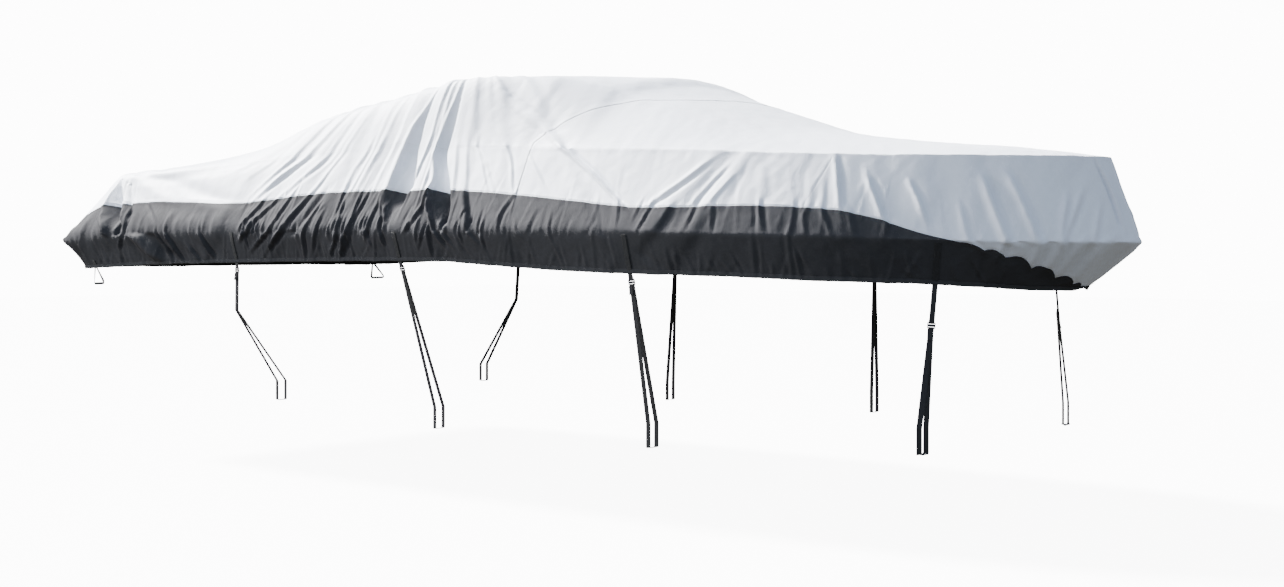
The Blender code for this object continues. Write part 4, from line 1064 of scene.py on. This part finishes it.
def ribbon(name, path, across, width, closed=False, radius=0.008, pitch=0.009):
    """Woven webbing along a path, rounded at its selvedges and ribbed along it, and its length."""
    if closed:
        path, across = [*path, path[0]], [*across, across[0]]
    points, sides = rounded(path, across, radius, pitch)
    if not closed:
        start = points[:1] + END_LIP * unit(points[1] - points[0])
        end = points[-1:] + END_LIP * unit(points[-2] - points[-1])
        points = np.vstack([points[:1], start, points[1:-1], end, points[-1:]])
        sides = np.vstack([sides[:1], sides, sides[-1:]])
    along = np.concatenate([[0.0], np.cumsum(np.linalg.norm(np.diff(points, axis=0), axis=1))])
    if closed:
        points, sides = points[:-1], sides[:-1]
        tangents = np.roll(points, -1, axis=0) - np.roll(points, 1, axis=0)
    else:
        tangents = np.gradient(points, axis=0)
    tangents /= np.linalg.norm(tangents, axis=1, keepdims=True)
    sides = sides - tangents * np.sum(sides * tangents, axis=1, keepdims=True)
    sides /= np.linalg.norm(sides, axis=1, keepdims=True)
    normals = np.cross(tangents, sides)
    half = len(RIBBON_SHARES)
    shares, face = np.concatenate([RIBBON_SHARES, RIBBON_SHARES[::-1]]), np.repeat([1.0, -1.0], half)
    body = WEBBING_THICK / 2 * np.sqrt(np.maximum(0.0, 1 - np.abs(shares) ** 14))
    ribs = WEBBING_RIB * np.cos(shares * np.pi * 5) * (np.abs(shares) < 0.95)
    section = (face * (body + ribs))[None, :, None]
    ring = points[:, None] + sides[:, None] * (shares * width / 2)[None, :, None] + normals[:, None] * section
    index = np.arange(len(points) * 2 * half).reshape(-1, 2 * half)
    here, following = (index, np.roll(index, -1, axis=0)) if closed else (index[:-1], index[1:])
    corners = here, np.roll(here, -1, axis=1), np.roll(following, -1, axis=1), following
    faces = np.stack(corners, axis=-1).reshape(-1, 4).tolist()
    for row in () if closed else (index[0].tolist(), index[-1, ::-1].tolist()):
        faces += [[row[k], row[-1 - k], row[-2 - k], row[k + 1]] for k in range(half - 1)]
    across_uv = shares * width / 2 + np.where(face > 0, 0.0, 0.5)
    uv = np.stack(np.broadcast_arrays(along[:len(points), None], across_uv[None]), axis=-1).reshape(-1, 2)
    return add_faces(name, ring.reshape(-1, 3), faces, {"cloth": uv}), float(along[-1])


def shell_line(run, girths):
    """Points of the band at one distance along the rail, as half-breadths and heights above the ground."""
    at, rows = column_of(run), slice(0, SEAM_ROW + 6)
    line = np.stack([np.interp(girths, GIRTHS[at, rows], SHELL[at, rows, axis]) for axis in range(3)], axis=1)
    return line * (1, -1, 1) + (0, 0, MOUNT_HEIGHT)


def wall_path(run, top_girth, distance):
    """Points down the band to the hem, just outside the cloth that lies flat at a tie-down."""
    girths = np.linspace(top_girth, 0, 14)
    edges = [shell_line(end, girths) for end in (run - TIE_FLAT, run + TIE_FLAT)]
    points = (edges[0] + edges[1]) / 2
    along = [unit(b - a) for a, b in zip(*edges)]
    facets = [unit(np.cross(b - a, side)) for a, b, side in zip(points, points[1:], along)]
    facets = [facet * math.copysign(1.0, facet[1]) for facet in facets]
    out = [point + facet * distance for point, facet in zip(points, facets + facets[-1:])]
    return out, along, facets[-1]


def bar_loop(bar, down, out, sign):
    """Points of webbing round a bar, from its front to its back. It passes under the bar if sign is +1."""
    high, deep = BUCKLE["bar"] / 2, BUCKLE["thick"] / 2
    off = CLEAR + WEBBING_THICK / 2
    reach = off + CLEAR
    turns = [math.radians(a) for a in (0, 22, 45, 68, 90)]
    front = [(deep + off, 0)]
    front += [(deep - CLEAR + reach * math.cos(a), high - CLEAR + reach * math.sin(a)) for a in turns]
    loop = front + [(-across, along) for across, along in reversed(front)]
    return [bar + out * across + down * sign * along for across, along in loop]


SLIDE_BEVEL, SLIDE_CORNER, SLOT_CORNER = 0.0009, 0.0030, 0.0022
GRIP_PITCH, GRIP_RIB = 0.0013, (0.0125, 0.00028, 0.0003)
TAB_BACK = ((0.9, 0.003), (0.2, 0.009), (-0.55, 0.020))     # the tab's way back up behind the buckle


def slide(name, frame_matrix):
    """A moulded two-slot slide with rounded edges and a ribbed middle bar."""
    curve = bpy.data.curves.new(name, "CURVE")
    curve.dimensions, curve.fill_mode = "2D", "BOTH"
    curve.extrude = BUCKLE["thick"] / 2 - SLIDE_BEVEL
    curve.bevel_depth, curve.bevel_resolution = SLIDE_BEVEL, 3

    def outline(width, height, centre, corner):
        turn = [math.radians(a) for a in (0, 22.5, 45, 67.5, 90)]
        points = []
        for sx, sy in ((1, 1), (-1, 1), (-1, -1), (1, -1)):
            quarter = [(sx * (width / 2 - corner + corner * math.cos(a)),
                        centre + sy * (height / 2 - corner + corner * math.sin(a))) for a in turn]
            points += quarter if sx * sy > 0 else quarter[::-1]
        spline = curve.splines.new("POLY")
        spline.points.add(len(points) - 1)
        spline.use_cyclic_u = True
        for point, (u, v) in zip(spline.points, points):
            point.co = (u, v, 0, 1)

    grow = 2 * SLIDE_BEVEL
    outline(BUCKLE["width"] - grow, BUCKLE["height"] - grow, 0, SLIDE_CORNER)
    for sign in (1, -1):
        centre = sign * (BUCKLE["height"] / 2 - BUCKLE["bar"] - BUCKLE["slot"] / 2)
        outline(BUCKLE["width"] - 2 * BUCKLE["side"] + grow, BUCKLE["slot"] + grow, centre, SLOT_CORNER)
    draft = bpy.data.objects.new(name + "_draft", curve)
    bpy.context.scene.collection.objects.link(draft)
    bpy.context.view_layer.update()
    mesh = bpy.data.meshes.new_from_object(draft.evaluated_get(bpy.context.evaluated_depsgraph_get()))
    bpy.data.objects.remove(draft)
    bpy.data.curves.remove(curve)
    work = bmesh.new()
    work.from_mesh(mesh)
    bmesh.ops.remove_doubles(work, verts=work.verts, dist=1e-6)
    for k in range(-3, 4):
        for side in (1, -1):
            at = Matrix.Translation((0, k * GRIP_PITCH, side * BUCKLE["thick"] / 2))
            matrix = at @ Matrix.Diagonal((*GRIP_RIB, 1))
            bmesh.ops.create_uvsphere(work, u_segments=20, v_segments=8, radius=1.0, matrix=matrix)
    work.to_mesh(mesh)
    work.free()
    mesh.name = name
    mesh.transform(frame_matrix)
    mesh.shade_smooth()
    obj = bpy.data.objects.new(name, mesh)
    bpy.context.scene.collection.objects.link(obj)
    return obj


def tie_down(tie, side):
    """The tab over the band, its buckle, the loop of webbing round the rail, and the free tail."""
    label = f"{tie['tie']}_{side}"
    sewn, directions, _ = wall_path(run_at(tie["hem_x"]), TAB_TOP, CLOTH + TAB_CLEAR + WEBBING_THICK / 2)
    hem, along = sewn[-1], directions[-1]
    quarter = tie["tie"] == "quarter"
    bend = np.array([tie["rail_x"], *QUARTER_BEND])
    corner = np.array([tie["rail_x"], tie["rail_b"], tie["rail_top"]])
    down = unit((bend if quarter else corner - (0, RAIL_WIDTH / 2, 0)) - hem)
    out = unit(np.cross(along, down))
    out = out * math.copysign(1.0, out[1])
    square = unit(np.cross(down, out)) * math.copysign(1.0, np.dot(np.cross(down, out), along))
    radius = BUCKLE["thick"] / 2 + CLEAR + WEBBING_THICK / 2
    centre = hem + down * tie["buckle_drop"] - out * radius
    bar_from_centre = BUCKLE["height"] / 2 - BUCKLE["bar"] / 2
    upper, lower = centre - down * bar_from_centre, centre + down * bar_from_centre

    tab = sewn + bar_loop(upper, down, out, 1)
    tab += [upper - out * radius * share - down * back for share, back in TAB_BACK]
    directions = directions + [square] * (len(tab) - len(directions))

    inner, drop = corner - (0, RAIL_WIDTH, 0), np.array([0.0, 0.0, RAIL_HEIGHT])
    front, back = ([bend + out * radius * sign] if quarter else [] for sign in (1, -1))
    loop = bar_loop(lower, down, out, -1) + back + [inner, inner - drop, corner - drop, corner] + front
    flip = mirror(side)

    def place(points):
        return [point * flip - (0, 0, MOUNT_HEIGHT) for point in points]

    made = {
        "tie_tab": ribbon(f"tab_{label}", place(tab), [d * flip for d in directions], WEBBING, pitch=0.005),
        "tie_down": ribbon(f"strap_{label}", place(loop), [square * flip] * len(loop), WEBBING, True),
    }
    if tie["tail"]:
        start = lower + out * (radius + WEBBING_THICK + CLEAR) + down * TAIL_START
        start = start - square * math.copysign(TAIL_SHIFT, square[0])
        tail = [start + down * tie["tail"] * t + out * TAIL_CURL * t ** 2 for t in np.linspace(0, 1, 7)]
        sides = [square * flip] * len(tail)
        made["tie_tail"] = ribbon(f"tail_{label}", place(tail), sides, WEBBING * TAIL_BREADTH)
    for kind, (piece, length) in made.items():
        piece.data.materials.append(STRAP)
        put(piece, f"{kind}_{label}")
    up, normal = Vector((-down * flip).tolist()), Vector((out * flip).tolist())
    turned = Matrix((up.cross(normal), up, normal)).transposed().to_4x4()
    buckle = slide(f"slide_{label}", Matrix.Translation(place([centre])[0]) @ turned)
    buckle.data.materials.append(PLASTIC)
    put(buckle, f"buckle_{label}")


def stern_tie(side):
    """A thin tie at the stern corner: its middle is sewn over the band, its two legs spread below."""
    distance = CLOTH + TAB_CLEAR + WEBBING_THICK / 2
    sewn, directions, outward = wall_path(run_at(STERN_TIE_X), TIE_SEWN, distance)
    top_end, hem, along = sewn[0], sewn[-1], directions[-1]
    half, spread = along * TIE_TOP / 2, along * TIE_SPREAD / 2
    low = hem - (0.0, 0.0, TIE_DROP) - along * TIE_SLIP
    flip = mirror(side)
    path = [top_end + half, hem + half, low + spread, low - spread, hem - half, top_end - half]
    points = [point * flip - (0, 0, MOUNT_HEIGHT) for point in path]
    across = []
    for i, point in enumerate(points):
        before, after = unit(point - points[i - 1]), unit(points[(i + 1) % len(points)] - point)
        across.append(unit(np.cross(unit(before + after), outward * flip)))
    piece, length = ribbon(f"cord_stern_{side}", points, across, TIE_CORD, True, radius=0.012)
    piece.data.materials.append(STRAP)
    put(piece, f"stern_tie_{side}")


for side in ("starboard", "port"):
    for tie in TIES:
        tie_down(tie, side)
    stern_tie(side)

# ---------------------------------------------------------------- stage, light and camera

WHITE, FLOOR_GLOW = 13.0, 9.5           # both show as the photo's white

bpy.ops.mesh.primitive_plane_add(size=60, location=(0, 0, -MOUNT_HEIGHT))
floor = bpy.context.object
floor.name = "floor"
paint = Graph("floor", (0.35, 0.35, 0.35), 0.9, 0.1)
paint.inputs["Emission Color"].default_value = (1.0, 1.0, 1.0, 1)
paint.inputs["Emission Strength"].default_value = FLOOR_GLOW
floor.data.materials.append(paint.material)
floor.visible_diffuse = floor.visible_glossy = False

# The cover is lit by a sky over dull ground, but the camera sees plain white behind it.
world = bpy.context.scene.world or bpy.data.worlds.new("sky")
bpy.context.scene.world = world
world.use_nodes = True
tree = world.node_tree
background = tree.nodes["Background"]
background.inputs["Strength"].default_value = 1.0
split = add_node(tree, "SeparateXYZ", {"Vector": add_node(tree, "TexCoord", {}).outputs["Generated"]})
height = add_node(tree, "MapRange", {"Value": split.outputs["Z"], "From Min": -1.0})
sky = add_node(tree, "ValToRGB", {"Fac": height.outputs["Result"]})
ramp = sky.color_ramp.elements
ramp[0].position, ramp[0].color = 0.0, (0.120, 0.112, 0.090, 1)
ramp[1].position, ramp[1].color = 1.0, (0.50, 0.66, 0.92, 1)
for place, colour in ((0.33, (0.200, 0.187, 0.150)), (0.45, (0.33, 0.315, 0.275)), (0.50, (0.62, 0.68, 0.74)),
                      (0.56, (0.80, 0.93, 1.10))):
    ramp.new(place).color = (*colour, 1)
white = add_node(tree, "Background", {"Color": (1, 1, 1, 1), "Strength": WHITE})
camera_ray = add_node(tree, "LightPath", {}).outputs["Is Camera Ray"]
mix = add_node(tree, "MixShader", {"Fac": camera_ray, 1: background.outputs[0], 2: white.outputs[0]})
tree.links.new(sky.outputs["Color"], background.inputs["Color"])
tree.links.new(mix.outputs["Shader"], tree.nodes["World Output"].inputs["Surface"])


def sun(name, toward, strength, angle, colour):
    light = bpy.data.lights.new(name, "SUN")
    light.energy, light.angle, light.color = strength, math.radians(angle), colour
    obj = bpy.data.objects.new(name, light)
    bpy.context.scene.collection.objects.link(obj)
    obj.rotation_mode = "QUATERNION"
    obj.rotation_quaternion = (-Vector(toward)).to_track_quat("-Z", "Y")
    return obj


# The sun stands astern, a little to starboard.
elevation, turn = math.radians(40), math.radians(86)
level = math.cos(elevation)
toward_sun = (-math.sin(turn) * level, -math.cos(turn) * level, math.sin(elevation))
sun("key", toward_sun, 34.0, 9, (1.0, 0.985, 0.96))
sun("glow", (-0.52, -0.742, 0.4226), 0.9, 50, (0.90, 0.95, 1.0))
sun("low", (-0.80, -0.55, 0.22), 3.0, 12, (1.0, 0.98, 0.95))

PHOTO_WIDTH, FOCAL_PIXELS, SENSOR = 1284, 1600, 36
CAMERA_AT, CAMERA_TOWARD, CAMERA_SHIFT = (5.385, -6.724, -0.88), (-0.625, 0.78, 0), -0.0378
camera = bpy.data.cameras.new("camera")
camera.lens, camera.sensor_width = SENSOR * FOCAL_PIXELS / PHOTO_WIDTH, SENSOR
camera.shift_y = CAMERA_SHIFT
camera.clip_end = 200
view = bpy.data.objects.new("camera", camera)
bpy.context.scene.collection.objects.link(view)
view.location = CAMERA_AT
view.rotation_mode = "QUATERNION"
view.rotation_quaternion = Vector(CAMERA_TOWARD).to_track_quat("-Z", "Y")
bpy.context.scene.camera = view
